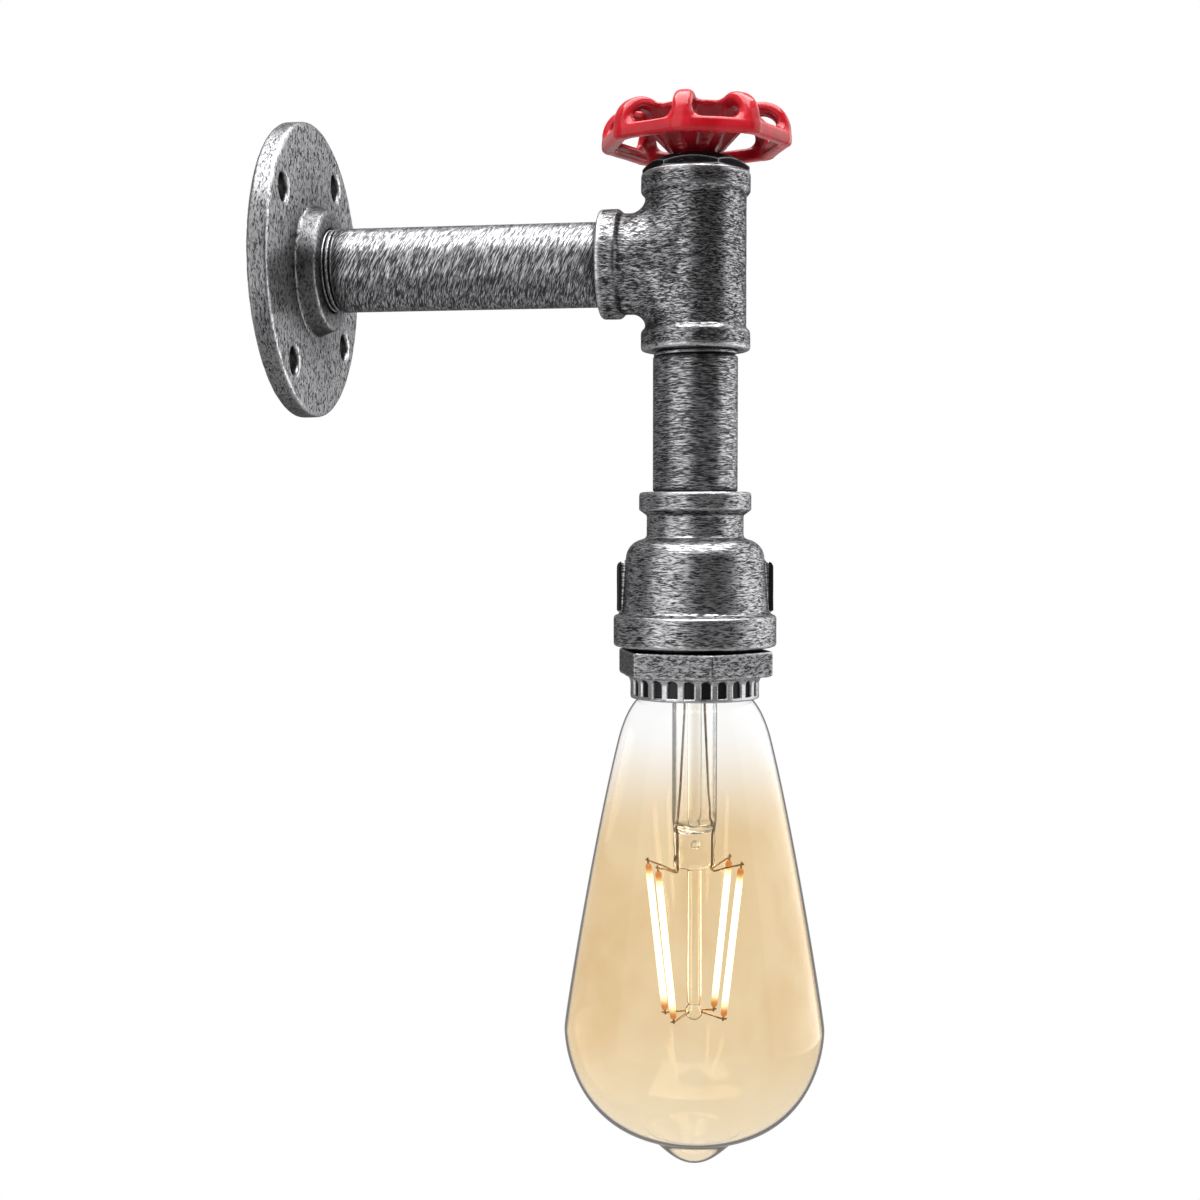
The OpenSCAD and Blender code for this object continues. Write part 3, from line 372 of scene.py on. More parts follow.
# finishes of the small parts: two tones, a cloud between them and a little relief
smallLooks = {
    "zinc_steel": {"light": (0.62, 0.62, 0.6, 1), "dark": (0.42, 0.42, 0.42, 1), "count": 700.0, "rough": 0.3,
                   "metal": 1.0, "relief": 0.06, "stretch": (1, 1, 4)},
    "brass": {"light": (0.72, 0.5, 0.2, 1), "dark": (0.5, 0.33, 0.12, 1), "count": 400.0, "rough": 0.28,
              "metal": 1.0, "relief": 0.05},
    "fibre_liner": {"light": (0.5, 0.42, 0.3, 1), "dark": (0.36, 0.29, 0.19, 1), "count": 900.0, "rough": 0.7},
    "white_ceramic": {"light": (0.8, 0.79, 0.75, 1), "dark": (0.7, 0.69, 0.66, 1), "count": 300.0, "rough": 0.3},
    "brown_insulation": {"light": (0.12, 0.045, 0.018, 1), "dark": (0.09, 0.03, 0.012, 1), "count": 500.0,
                         "rough": 0.4},
    "blue_insulation": {"light": (0.02, 0.07, 0.33, 1), "dark": (0.015, 0.05, 0.25, 1), "count": 500.0,
                        "rough": 0.4},
    "green_insulation": {"light": (0.45, 0.42, 0.02, 1), "dark": (0.03, 0.2, 0.03, 1), "count": 260.0, "rough": 0.4},
    "nickel": {"light": (0.66, 0.63, 0.58, 1), "dark": (0.5, 0.48, 0.44, 1), "count": 500.0, "rough": 0.24,
               "metal": 1.0, "relief": 0.05, "stretch": (1, 1, 3)},
    "black_insulator": {"light": (0.03, 0.028, 0.032, 1), "dark": (0.01, 0.01, 0.012, 1), "count": 400.0,
                        "rough": 0.2},
    "solder": {"light": (0.6, 0.6, 0.58, 1), "dark": (0.38, 0.38, 0.37, 1), "count": 600.0, "rough": 0.35,
               "metal": 1.0, "relief": 0.2},
    "green_board": {"light": (0.03, 0.2, 0.06, 1), "dark": (0.02, 0.13, 0.04, 1), "count": 800.0, "rough": 0.4},
    "capacitor_sleeve": {"light": (0.03, 0.03, 0.034, 1), "dark": (0.015, 0.015, 0.018, 1), "count": 300.0,
                         "rough": 0.35},
    "lead_wire": {"light": (0.2, 0.13, 0.075, 1), "dark": (0.07, 0.042, 0.024, 1), "count": 900.0, "rough": 0.35,
                  "metal": 0.8}}


def speckled(name, light, dark, count, rough, metal=0.0, relief=0.1, stretch=(1, 1, 1)):
    material, tree, shader = newMaterial(name, {"Metallic": metal})
    drawn = calcVector(tree, "MULTIPLY", spotOf(tree), stretch)
    grain = cloud(tree, drawn, count, detail=4.0, rough=0.6)[0]
    feed(tree, shader, Base_Color=mixColour(tree, ease(tree, grain, *partly), dark, light),
         Roughness=ease(tree, grain, *mostly, rough + 0.1, rough - 0.05), Normal=bump(tree, grain, relief))
    return material


small = {name: speckled(name, **look) for name, look in smallLooks.items()}

# glass: painted shade, a dark rim where it is seen edge on; amber from the shoulder down
amberLook = {"bend": 1.17, "clear": (0.985, 0.985, 0.985, 1), "amber": (0.9, 0.79, 0.61, 1),
             "deep": (0.86, 0.72, 0.52, 1), "pale": (0.92, 0.84, 0.7, 1), "rim": (0.006, 0.003, 0.0015, 1),
             "smoke": 45.0, "smoked": (0.35, 0.7), "ragged": 0.012, "fade": (-0.139, -0.107),
             "pales": (-0.185, -0.215), "limbShade": (0.74, 0.83), "tip": (-0.2, -0.214), "tipShade": 0.06,
             "rough": 0.008}
clearLook = {"bend": 1.46, "clear": (0.97, 0.97, 0.96, 1), "rim": (0.004, 0.0025, 0.0015, 1),
             "limbShade": (0.4, 0.68), "streaks": 500.0, "drawn": (1, 1, 0.2), "rough": 0.03, "bump": 0.05}
exhaustLook = {**clearLook, "clear": (0.93, 0.89, 0.82, 1), "rim": (0.08, 0.04, 0.017, 1), "limbShade": (0.3, 0.75)}


def glassShader(name, look):
    material, tree, shader = newMaterial(name, {
        "Transmission Weight": 1.0, "IOR": look["bend"], "Specular IOR Level": 0.2, "Metallic": 0.0})
    facing = addNode(tree, "ShaderNodeLayerWeight", {"Blend": 0.5}).outputs["Facing"]
    return material, tree, shader, spotOf(tree), facing


# 1 on the outer wall of the bulb and 0 on its inner wall
def outerWall(tree, spot):
    outward = calcVector(tree, "MULTIPLY", calcVector(tree, "SUBTRACT", spot, lampAxis), (1, 1, 0))
    normal = addNode(tree, "ShaderNodeTexCoord").outputs["Normal"]
    along = addNode(tree, "ShaderNodeVectorMath", {0: normal, 1: outward}, operation="DOT_PRODUCT")
    return calc(tree, "GREATER_THAN", along.outputs["Value"], 0.0)


def amberGlass(look):
    material, tree, shader, spot, facing = glassShader("amber_glass", look)
    height = axesOf(tree, spot)[2]
    smoke = cloud(tree, spot, look["smoke"], warp=0.6)[0]
    ragged = calc(tree, "MULTIPLY_ADD", smoke, look["ragged"], height)
    tone = mixColour(tree, ease(tree, smoke, *look["smoked"]), look["amber"], look["deep"])
    tone = mixColour(tree, ease(tree, height, *look["pales"]), tone, look["pale"])
    tone = mixColour(tree, ease(tree, ragged, *look["fade"]), tone, look["clear"])
    # painted shade: a dark outline on the outer wall where it is seen edge on, wider at the tip
    limbShade = calc(tree, "MULTIPLY_ADD", ease(tree, height, *look["tip"]), look["tipShade"], facing)
    rim = calc(tree, "MULTIPLY", ease(tree, limbShade, *look["limbShade"]), outerWall(tree, spot))
    feed(tree, shader, Base_Color=mixColour(tree, rim, tone, look["rim"]),
         Roughness=ease(tree, smoke, *mostly, 0.0, look["rough"]))
    return material


def clearGlass(name, look):
    material, tree, shader, spot, facing = glassShader(name, look)
    streaks = cloud(tree, calcVector(tree, "MULTIPLY", spot, look["drawn"]), look["streaks"])[0]
    # painted shade: darker where the glass is seen edge on
    tone = mixColour(tree, ease(tree, facing, *look["limbShade"]), look["clear"], look["rim"])
    feed(tree, shader, Base_Color=tone, Roughness=ease(tree, streaks, *mostly, 0.0, look["rough"]),
         Normal=bump(tree, streaks, look["bump"]))
    return material


# lit filaments: warm white, amber towards the ends, with painted reflections: their images in the glass around them
# are brighter than the filaments
glowLook = {"white": (1.0, 0.9, 0.66, 1), "amber": (0.14, 0.055, 0.011, 1), "top": -0.1497, "low": -0.1871,
            "dim": 0.001, "end": 0.006, "chips": 1500.0, "chipped": (0.4, 0.8), "chipDepth": 0.3,
            "strength": 3.6, "paintedReflectionGain": 18.0}


def litFilament(look):
    material, tree, shader = newMaterial("lit_filament", {
        "Emission Strength": look["strength"], "Roughness": 0.5, "Metallic": 0.0})
    spot = spotOf(tree)
    height = axesOf(tree, spot)[2]
    upper = ease(tree, height, look["top"] - look["end"], look["top"] - look["dim"])
    lower = ease(tree, height, look["low"] + look["end"], look["low"] + look["dim"])
    chips = ease(tree, cloud(tree, spot, look["chips"], detail=1.0)[0], *look["chipped"], 0.0, look["chipDepth"])
    glow = mixColour(tree, calc(tree, "MAXIMUM", upper, lower), look["white"], look["amber"])
    glow = mixColour(tree, chips, glow, look["amber"])
    # painted reflection: the glow is shown this many times brighter in mirror images
    level = mirrorLevel(tree, addNode(tree, "ShaderNodeLightPath").outputs, look["paintedReflectionGain"])
    feed(tree, shader, Base_Color=glow, Emission_Color=calcVector(tree, "SCALE", glow, level))
    return material


amber = amberGlass(amberLook)
clear = clearGlass("clear_glass", clearLook)
exhaustGlass = clearGlass("exhaust_glass", exhaustLook)
filamentGlow = litFilament(glowLook)
print("materials made:", len(bpy.data.materials))

weldGap = 1e-6  # points closer than this become one, in metres


# mesh building, points in millimetres
def placePiece(name, points, faces, material, body, slot, *nodes):
    mesh = bpy.data.meshes.new(name)
    mesh.from_pydata((np.asarray(points) * mm).tolist(), [], faces)
    work = bmesh.new()
    work.from_mesh(mesh)
    bmesh.ops.remove_doubles(work, verts=work.verts, dist=weldGap)
    loose = [edge for edge in work.edges if not edge.link_faces]
    bmesh.ops.delete(work, geom=loose, context="EDGES")
    bmesh.ops.recalc_face_normals(work, faces=work.faces)
    work.to_mesh(mesh)
    work.free()
    return settle(addObject(name, mesh), material, body, slot, *nodes)


def settle(piece, material, body, slot, *nodes):
    mesh = piece.data
    mesh.polygons.foreach_set("use_smooth", [True] * len(mesh.polygons))
    giveFinish(mesh, material)
    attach(piece, body)
    if nodes:
        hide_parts(*nodes)
    return piece


def giveFinish(mesh, material):
    mesh.materials.clear()
    mesh.materials.append(material)
    mesh.polygons.foreach_set("material_index", [0] * len(mesh.polygons))


def rings(rows):
    count, around = rows.shape[:2]
    i = np.arange(count)[:, None]
    k = np.arange(around)[None, :]
    after, beside = (i + 1) % count, (k + 1) % around
    quads = np.stack([i * around + k, i * around + beside, after * around + beside, after * around + k], -1)
    return rows.reshape(-1, 3), quads.reshape(-1, 4).tolist()


# closed outline of radius and place, turned about the lamp axis or about the arm
def turned(outline, around, axis="z", ripple=None):
    outline = np.array(outline, float)
    angle = np.linspace(0, 2 * math.pi, around, endpoint=False)[None, :]
    radius, place = np.broadcast_arrays(outline[:, :1], outline[:, 1:] + 0 * angle)
    if ripple:
        radius = ripple(radius, place, angle)
    wide, deep = radius * np.cos(angle), radius * np.sin(angle)
    if axis == "x":
        return rings(np.stack([place, wide, deep], -1))
    return rings(np.stack([lampX + wide, deep, place], -1))


def bezier(p, q, r, s, count):
    t = np.linspace(0, 1, count + 1)[1:, None]
    u = 1 - t
    return u ** 3 * p + 3 * u * u * t * q + 3 * u * t * t * r + t ** 3 * s


def smoothStep(t):
    return t * t * (3 - 2 * t)


def smoothPath(places, steps):
    places = [np.array(p, float) for p in places]
    path = []
    for i in range(len(places) - 1):
        a, b, c, d = places[max(i - 1, 0)], places[i], places[i + 1], places[min(i + 2, len(places) - 1)]
        for t in np.arange(steps) / steps:
            path.append(0.5 * (2 * b + (c - a) * t + (2 * a - 5 * b + 4 * c - d) * t * t
                               + (3 * b - a - 3 * c + d) * t ** 3))
    return np.array(path + [places[-1]])


# round wire along a path, with domed ends
wireEnds = [(0.0, 1.0), (0.7, 0.7), (1.0, 0.0)]  # width of each ring of a dome, and how far out it is
acrossLevel, acrossUpright = (0.3, 0.5, 0.81), (1.0, 0.2, 0.1)


def roundWire(path, radius, sides=10):
    path = np.array(path, float)
    heading = np.gradient(path, axis=0)
    heading /= np.linalg.norm(heading, axis=1)[:, None]
    side = np.cross(heading[0], acrossLevel if abs(heading[0][0]) > 0.5 else acrossUpright)
    angle = np.linspace(0, 2 * math.pi, sides, endpoint=False)[:, None]
    rows = []
    for i, (spot, ahead) in enumerate(zip(path, heading)):
        side = side - ahead * side.dot(ahead)
        side /= np.linalg.norm(side)
        ring = np.cos(angle) * side + np.sin(angle) * np.cross(ahead, side)
        if i == 0:
            rows += [spot - ahead * radius * out + ring * radius * width for width, out in wireEnds]
        elif i == len(path) - 1:
            rows += [spot + ahead * radius * out + ring * radius * width for width, out in reversed(wireEnds)]
        else:
            rows.append(spot + ring * radius)
    points, faces = rings(np.array(rows))
    return points, faces[:-sides]  # the last row would join the two ends


def gathered(parts):
    points, faces = [], []
    for spots, sides in parts:
        start = len(points)
        points += list(spots)
        faces += [[start + index for index in face] for face in sides]
    return np.array(points), faces


# from points about the origin to points about the lamp axis, turned
def aboutAxis(points, degrees):
    turn = math.radians(degrees)
    points = np.array(points, float)
    x, y = points[:, 0].copy(), points[:, 1].copy()
    points[:, 0] = lampX + x * math.cos(turn) - y * math.sin(turn)
    points[:, 1] = x * math.sin(turn) + y * math.cos(turn)
    return points


# castings: the CAD solid, rounded in its hollows and on its edges, sizes in metres
casting = {"smoothing": 0.5, "lumps": 260.0}


def spotsOf(mesh):
    spots = np.empty(len(mesh.vertices) * 3, np.float32)
    mesh.vertices.foreach_get("co", spots)
    return spots


def moveTo(mesh, spots):
    mesh.vertices.foreach_set("co", spots)
    mesh.update()


def swell(mesh, distance):
    spots = spotsOf(mesh)
    normals = np.empty(len(spots), np.float32)
    mesh.vertex_normals.foreach_get("vector", normals)
    moveTo(mesh, spots + normals * distance)


def restOnWall(mesh):
    spots = spotsOf(mesh)
    spots[0::3] = np.maximum(spots[0::3], 0.0)
    moveTo(mesh, spots)


def bakeStep(piece, kind, **settings):
    step = piece.modifiers.new(kind.lower(), kind)
    for key, value in settings.items():
        setattr(step, key, value)
    shape = bpy.data.meshes.new_from_object(piece.evaluated_get(bpy.context.evaluated_depsgraph_get()))
    piece.modifiers.clear()
    old, piece.data = piece.data, shape
    bpy.data.meshes.remove(old)


def castCopy(name, node, c):
    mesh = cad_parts[node].data.copy()
    work = bmesh.new()
    work.from_mesh(mesh)
    bmesh.ops.remove_doubles(work, verts=work.verts, dist=weldGap)
    work.to_mesh(mesh)
    work.free()
    piece = addObject(name, mesh)
    bakeStep(piece, "REMESH", mode="VOXEL", voxel_size=c["voxel"])
    if "hollow" in c:
        swell(piece.data, c["hollow"])
        bakeStep(piece, "REMESH", mode="VOXEL", voxel_size=c["voxel"])
        swell(piece.data, -c["hollow"])
    bakeStep(piece, "SMOOTH", factor=casting["smoothing"], iterations=c["passes"])
    lumps = [noise.noise(vertex.co * casting["lumps"]) * c["uneven"] for vertex in piece.data.vertices]
    swell(piece.data, np.repeat(np.array(lumps, np.float32), 3))
    return piece


# wall flange
flange = {"voxel": 0.00035, "passes": 2, "uneven": 0.00006}
flangePiece = castCopy("flange_casting", "wall_flange", flange)
restOnWall(flangePiece.data)
settle(flangePiece, flangeMetal, "fixture", "silvered_casting", "wall_flange")

# tee
tee = {"voxel": 0.0003, "passes": 2, "uneven": 0.00006}
teePiece = castCopy("tee_casting", "tee_fitting", tee)
settle(teePiece, castMetal, "fixture", "silvered_casting", "tee_fitting")

# bell reducer
bell = {"voxel": 0.0003, "passes": 2, "uneven": 0.00005}
bellPiece = castCopy("bell_casting", "bell_reducer", bell)
settle(bellPiece, bellMetal, "fixture", "silvered_casting", "bell_reducer")

# hexagon bush
bush = {"voxel": 0.0003, "passes": 2, "uneven": 0.00003}
bushPiece = castCopy("bush_casting", "hexagon_bush", bush)
settle(bushPiece, bushMetal, "fixture", "silvered_casting", "hexagon_bush")

# handwheel
wheel = {"voxel": 0.0003, "hollow": 0.0016, "passes": 8, "uneven": 0.00005}
wheelPiece = castCopy("wheel_casting", "handwheel", wheel)
settle(wheelPiece, enamel, "wheel", "red_enamel", "handwheel")
print("castings made")


# pipes with cut threads where they leave the fittings
thread = {"pitch": 1.3, "crest": 10.32, "depth": 0.7, "half": 0.3, "step": 0.1, "outside": 9.0, "around": 144}
armPipe = {"bore": 8.0, "radius": 10.5, "hidden": 10.1, "chamfer": 0.4, "shoulder": 0.3, "rows": 30,
           "ends": (0.8, 88.0), "cut": (9.7, 12.4), "plain": (12.6, 78.6)}
dropPipe = {**armPipe, "ends": (-65.5, -12.8), "cut": (-23.2, -21.7), "plain": (-56.1, -23.4)}


def cutThread(low, high):
    def ripple(radius, place, angle):
        phase = np.mod(place / thread["pitch"] - angle / (2 * math.pi), 1.0)
        groove = smoothStep(np.clip(1.0 - np.abs(phase - 0.5) / thread["half"], 0.0, 1.0))
        inside = (radius > thread["outside"]) & (place >= low) & (place <= high)
        return np.where(inside, radius - thread["depth"] * groove, radius)
    return ripple


def pipeShape(p, axis):
    cut = [(thread["crest"], s) for s in np.arange(*p["cut"], thread["step"])]
    plain = [(p["radius"], s) for s in np.linspace(*p["plain"], p["rows"])]
    body = sorted(cut + plain, key=lambda spot: spot[1])
    (start, stop), hidden, bore = p["ends"], p["hidden"], p["bore"]
    chamfer, shoulder = p["chamfer"], p["shoulder"]
    outline = [(bore, start), (hidden - chamfer, start), (hidden, start + chamfer), (hidden, body[0][1] - shoulder)]
    outline += body + [(hidden, body[-1][1] + shoulder), (hidden, stop - chamfer), (hidden - chamfer, stop),
                       (bore, stop)]
    return turned(outline, thread["around"], axis, cutThread(*p["cut"]))


placePiece("arm_tube", *pipeShape(armPipe, "x"), armMetal, "fixture", "silvered_pipe", "arm_pipe")
placePiece("drop_tube", *pipeShape(dropPipe, "z"), dropMetal, "fixture", "silvered_pipe", "drop_pipe")
print("pipes made")

# bulb glass, outer wall down to the tip and inner wall back up; pulls shape the curves between the places
bulb = {"rim": -105.3, "neckIn": 5.0, "neck": 11.9, "flareUp": 0.8, "bend": (1.7, -1.9), "shoulder": 18.9,
        "shoulderDrop": 12.0, "belly": 32.5, "bellyDrop": 85.0, "dome": 26.4, "tip": 13.5, "tipHeight": 8.0,
        "flarePull": (0, -1.2), "bendPulls": ((-0.9, 0.7), (2.3, -1.8)), "shoulderPull": (-1.2, 4.4),
        "flankPulls": (1.36, 0.1), "domePull": 0.26, "sweep": (0.8, 0.27), "tipPulls": (0.25, 0.46),
        "wall": 0.6, "around": 160}


def glassOutline(b, inset):
    rim = b["rim"]
    flare = np.array([b["neck"] - inset, rim + b["flareUp"]])
    bend = np.array([b["neck"] + b["bend"][0] - inset, rim + b["bend"][1]])
    shoulder = np.array([b["shoulder"] - inset, rim - b["shoulderDrop"]])
    widest = np.array([b["belly"] - inset, rim - b["bellyDrop"]])
    root = np.array([b["tip"] - inset, rim - b["bellyDrop"] - b["dome"] + inset])
    tip = np.array([0.0, rim - b["bellyDrop"] - b["dome"] - b["tipHeight"] + inset])
    rise = (widest - shoulder) / 3
    sweep = b["sweep"][0] * (b["belly"] - b["tip"]) * np.array([1, b["sweep"][1]])
    intoBend, outOfBend = b["bendPulls"]
    bulge, upright = b["flankPulls"]
    rootPull, tipPull = b["tipPulls"]
    return np.concatenate([
        np.array([[b["neck"] - inset, rim + b["neckIn"]], flare]),
        bezier(flare, flare + b["flarePull"], bend + intoBend, bend, 12),
        bezier(bend, bend + outOfBend, shoulder + b["shoulderPull"], shoulder, 18),
        bezier(shoulder, shoulder + [rise[0] * bulge, rise[1]], widest - [0, rise[1] * upright], widest, 40),
        bezier(widest, widest - [0, b["dome"] * b["domePull"]], root + sweep, root, 40),
        bezier(root, root - sweep * rootPull, tip + [b["tip"] * tipPull, 0], tip, 24)])


glassLoop = np.concatenate([glassOutline(bulb, 0.0), glassOutline(bulb, bulb["wall"])[::-1]])
placePiece("glass_envelope", *turned(glassLoop, bulb["around"]), amber, "bulb", "amber_glass", "bulb_glass")

# stem: flared tube, flattened press and rod with a bead, one piece of glass
stem = {"tube": 5.6, "wall": 0.5, "flare": 10.9, "flareTop": -103.3, "flareRound": 3.0, "tubeFrom": 4.0,
        "pressTop": -140.9, "pressLow": -150.3, "half": 5.3, "thick": 2.5, "squash": (3.4, 4.8), "flat": (1.4, 7.4),
        "wave": 0.16, "waves": 9.0, "taper": 0.1, "foot": (0.6, 0.9), "rod": 1.75, "rodFrom": 1.0, "rodLow": -186.5,
        "bead": 2.2, "beadNeck": 0.4, "beadFrom": 0.7, "boreFoot": (2.2, 1.2), "boreFlat": 0.75, "boreTop": 3.4,
        "turn": 21.0, "around": 72, "bubble": 1.25, "bubbleAt": -144.4, "bubbleFlat": 0.9}


def stemRows(s):
    tube, half, thick, rod, taper = s["tube"], s["half"], s["thick"], s["rod"], s["taper"]
    top, pressTop, bend = s["flareTop"], s["pressTop"], s["flareRound"]
    above, fall = s["squash"]
    rows = [(s["flare"], s["flare"], top)]  # half width, half thickness, height
    for a in np.linspace(math.pi / 2, math.pi, 10):
        r = tube + bend + bend * math.cos(a)
        rows.append((r, r, top - bend + bend * math.sin(a)))
    for z in np.linspace(top - s["tubeFrom"], pressTop + above, 14):
        rows.append((tube, tube, z))
    for t in np.linspace(0, 1, 12):
        e = smoothStep(t)
        rows.append((tube + (half - tube) * e, tube + (thick - tube) * e, pressTop + above - fall * t))
    below, fall = s["flat"]
    for t in np.linspace(0.1, 1, 10):
        lump = s["wave"] * math.sin(t * s["waves"])
        rows.append((half + lump - taper * t, thick + 0.6 * lump, pressTop - below - fall * t))
    above, fall = s["foot"]
    for t in np.linspace(0.15, 1, 7):
        e = math.sin(t * math.pi / 2)
        rows.append((half - taper + (rod - half + taper) * t, thick + (rod - thick) * t,
                     s["pressLow"] + above - fall * e))
    for z in np.linspace(s["pressLow"] - s["rodFrom"], s["rodLow"] + s["bead"] + s["beadNeck"], 16):
        rows.append((rod, rod, z))
    for a in np.linspace(s["beadFrom"], math.pi, 12):
        r = s["bead"] * math.sin(a)
        rows.append((r, r, s["rodLow"] + s["bead"] * math.cos(a)))
    bore = tube - s["wall"]
    above, fall = s["boreFoot"]
    for t in np.linspace(0, 1, 8):
        a = t * math.pi / 2
        rows.append((bore * math.sin(a), s["boreFlat"] * bore * math.sin(a), pressTop + above - fall * math.cos(a)))
    for z in np.linspace(pressTop + s["tubeFrom"], top - s["boreTop"], 14):
        rows.append((bore, bore, z))
    for a in np.linspace(math.pi, math.pi / 2, 10):
        r = tube + bend + (bend + s["wall"]) * math.cos(a)
        rows.append((r, r, top - bend + (bend + s["wall"]) * math.sin(a)))
    rows.append((s["flare"], s["flare"], top + s["wall"]))
    return np.array(rows)


def stemShape(s):
    rows = stemRows(s)
    angle = np.linspace(0, 2 * math.pi, s["around"], endpoint=False)
    shape = np.stack([rows[:, :1] * np.cos(angle), rows[:, 1:2] * np.sin(angle), rows[:, 2:] + 0 * angle], -1)
    points, faces = rings(shape)
    return aboutAxis(points, s["turn"]), faces


# air bubble in the press
def addBubble(piece, s):
    work = bmesh.new()
    work.from_mesh(piece.data)
    old = set(work.faces)
    spots = bmesh.ops.create_uvsphere(work, u_segments=32, v_segments=16, radius=s["bubble"] * mm)["verts"]
    for vertex in spots:
        height = vertex.co.z * s["bubbleFlat"] + s["bubbleAt"] * mm
        vertex.co = Vector((vertex.co.x + lampX * mm, vertex.co.y, height))
    inside = [face for face in work.faces if face not in old]
    bmesh.ops.reverse_faces(work, faces=inside)
    for face in inside:
        face.smooth = True
    work.to_mesh(piece.data)
    work.free()


stemPiece = placePiece("stem_glass", *stemShape(stem), clear, "bulb", "clear_glass", "bulb_stem")
addBubble(stemPiece, stem)

# exhaust tube inside the stem
exhaust = {"radius": 1.75, "low": -138.0, "high": -99.4, "rows": 12, "around": 48}
exhaustPath = [(lampX, 0, z) for z in np.linspace(exhaust["low"], exhaust["high"], exhaust["rows"])]
exhaustShape = roundWire(exhaustPath, exhaust["radius"], exhaust["around"])
placePiece("exhaust_rod", *exhaustShape, exhaustGlass, "bulb", "clear_glass")

# wires and filaments inside the bulb; high and low are the ends of a filament
wires = {"radius": 0.3, "hookRadius": 0.24, "inStem": 4.1, "top": 2.6, "pressTop": -140.9, "pressLow": -150.3,
         "rim": -105.3, "turn": 21.0, "high": (10.6, 5.2, -149.7), "low": (6.4, 4.4, -187.1), "rodLow": -186.5,
         "pin": (1.0, 1.3), "foot": (1.0, 0.9)}
filament = {"radius": 0.8, "ends": (0.02, 0.98), "rows": 12, "around": 16}
corners = ((1, 1), (1, -1), (-1, 1), (-1, -1))


def filamentEnds(w, sx, sy):
    return np.array(w["high"]) * (sx, sy, 1), np.array(w["low"]) * (sx, sy, 1)


def bulbWire(w, path, radius, sides=10):
    points, faces = roundWire(path, radius, sides)
    return aboutAxis(points, w["turn"]), faces


# from the cap through the stem into the press
def leadShapes(w):
    parts = []
    for side in (-1, 1):
        path = smoothPath([
            (side * w["top"], 0, w["rim"] + 5), (side * w["top"], 0, w["rim"] - 4),
            (side * (w["top"] + 0.2), 0, w["rim"] - 9), (side * (w["inStem"] - 0.5), 0, w["pressTop"] + 11),
            (side * w["inStem"], 0, w["pressTop"] + 4), (side * w["inStem"], 0, w["pressLow"] + 0.6)], 8)
        parts.append(bulbWire(w, path, w["radius"]))
    return gathered(parts)


# from the press to the upper ends, and from the rod's bead to the lower ends
def hookShapes(w):
    parts = []
    for sx, sy in corners:
        high, low = filamentEnds(w, sx, sy)
        lean = (high - low) / np.linalg.norm(high - low)
        upper = smoothPath([
            (sx * 4.3, sy * 0.5, w["pressLow"] + 0.5), (sx * 4.5, sy * 0.9, w["pressLow"] - 0.5),
            (sx * 5.2, sy * 1.5, w["pressLow"] - 0.7), (sx * 7.6, sy * 3.2, w["pressLow"] + 0.3),
            high + (-sx * 0.6, -sy * 0.4, 0.5), high + (sx * 0.5, sy * 0.3, 0.9)], 6)
        lower = smoothPath([
            low + (sx * 0.6, sy * 0.3, -0.5), low + (-sx * 0.4, -sy * 0.3, -0.5),
            low * 0.6 + np.array([0, 0, (w["rodLow"] - 0.4) * 0.4]), (sx * 1.5, sy * 0.9, w["rodLow"])], 6)
        pin = [high - lean * w["pin"][0], high + lean * w["pin"][1]]
        foot = [low + lean * w["foot"][0], low - lean * w["foot"][1]]
        parts += [bulbWire(w, path, w["hookRadius"]) for path in (upper, lower, pin, foot)]
    return gathered(parts)


def filamentShapes(w, f):
    parts = []
    for sx, sy in corners:
        high, low = filamentEnds(w, sx, sy)
        path = low + (high - low) * np.linspace(*f["ends"], f["rows"])[:, None]
        parts.append(bulbWire(w, path, f["radius"], f["around"]))
    return gathered(parts)


placePiece("lead_in_wires", *leadShapes(wires), small["lead_wire"], "bulb", "lead_wire", "lead_wires")
placePiece("hook_wires", *hookShapes(wires), small["lead_wire"], "bulb", "lead_wire", "filament_hooks")
placePiece("filament_rods", *filamentShapes(wires, filament), filamentGlow, "bulb", "filament", "filaments")

# skirt of the lampholder: slots with round tops and a flare under the hexagon
skirt = {"low": -107.5, "high": -101.9, "radius": 16.0, "mouth": 15.2, "mouthUp": 0.6, "sleeve": 15.0, "bore": 14.4,
         "boreUp": 2.4, "flare": (1.35, 2.2), "slots": 24, "slotHalf": 1.32, "slotDepth": 0.7, "slotSide": 0.12,
         "slotLow": -106.6, "slotHigh": -102.4, "roundTop": 0.9, "turn": 1.05, "around": 480,
         "top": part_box("holder_skirt")[1][2] / mm}


def cutSlots(radius, place, angle):
    s = skirt
    apart = 2 * math.pi / s["slots"]
    across = np.abs(np.mod(angle - math.radians(s["turn"]) + apart / 2, apart) - apart / 2) * s["radius"]
    rise = np.clip((place - s["slotHigh"] + s["roundTop"]) / s["roundTop"], 0, 1)
    half = s["slotHalf"] * np.sqrt(1 - rise ** 2)
    inside = (place > s["slotLow"]) & (place < s["slotHigh"]) & (radius >= s["radius"])
    sunk = np.clip((half - across) / s["slotSide"], 0, 1) * inside
    return radius + (s["radius"] - s["slotDepth"] - radius) * sunk


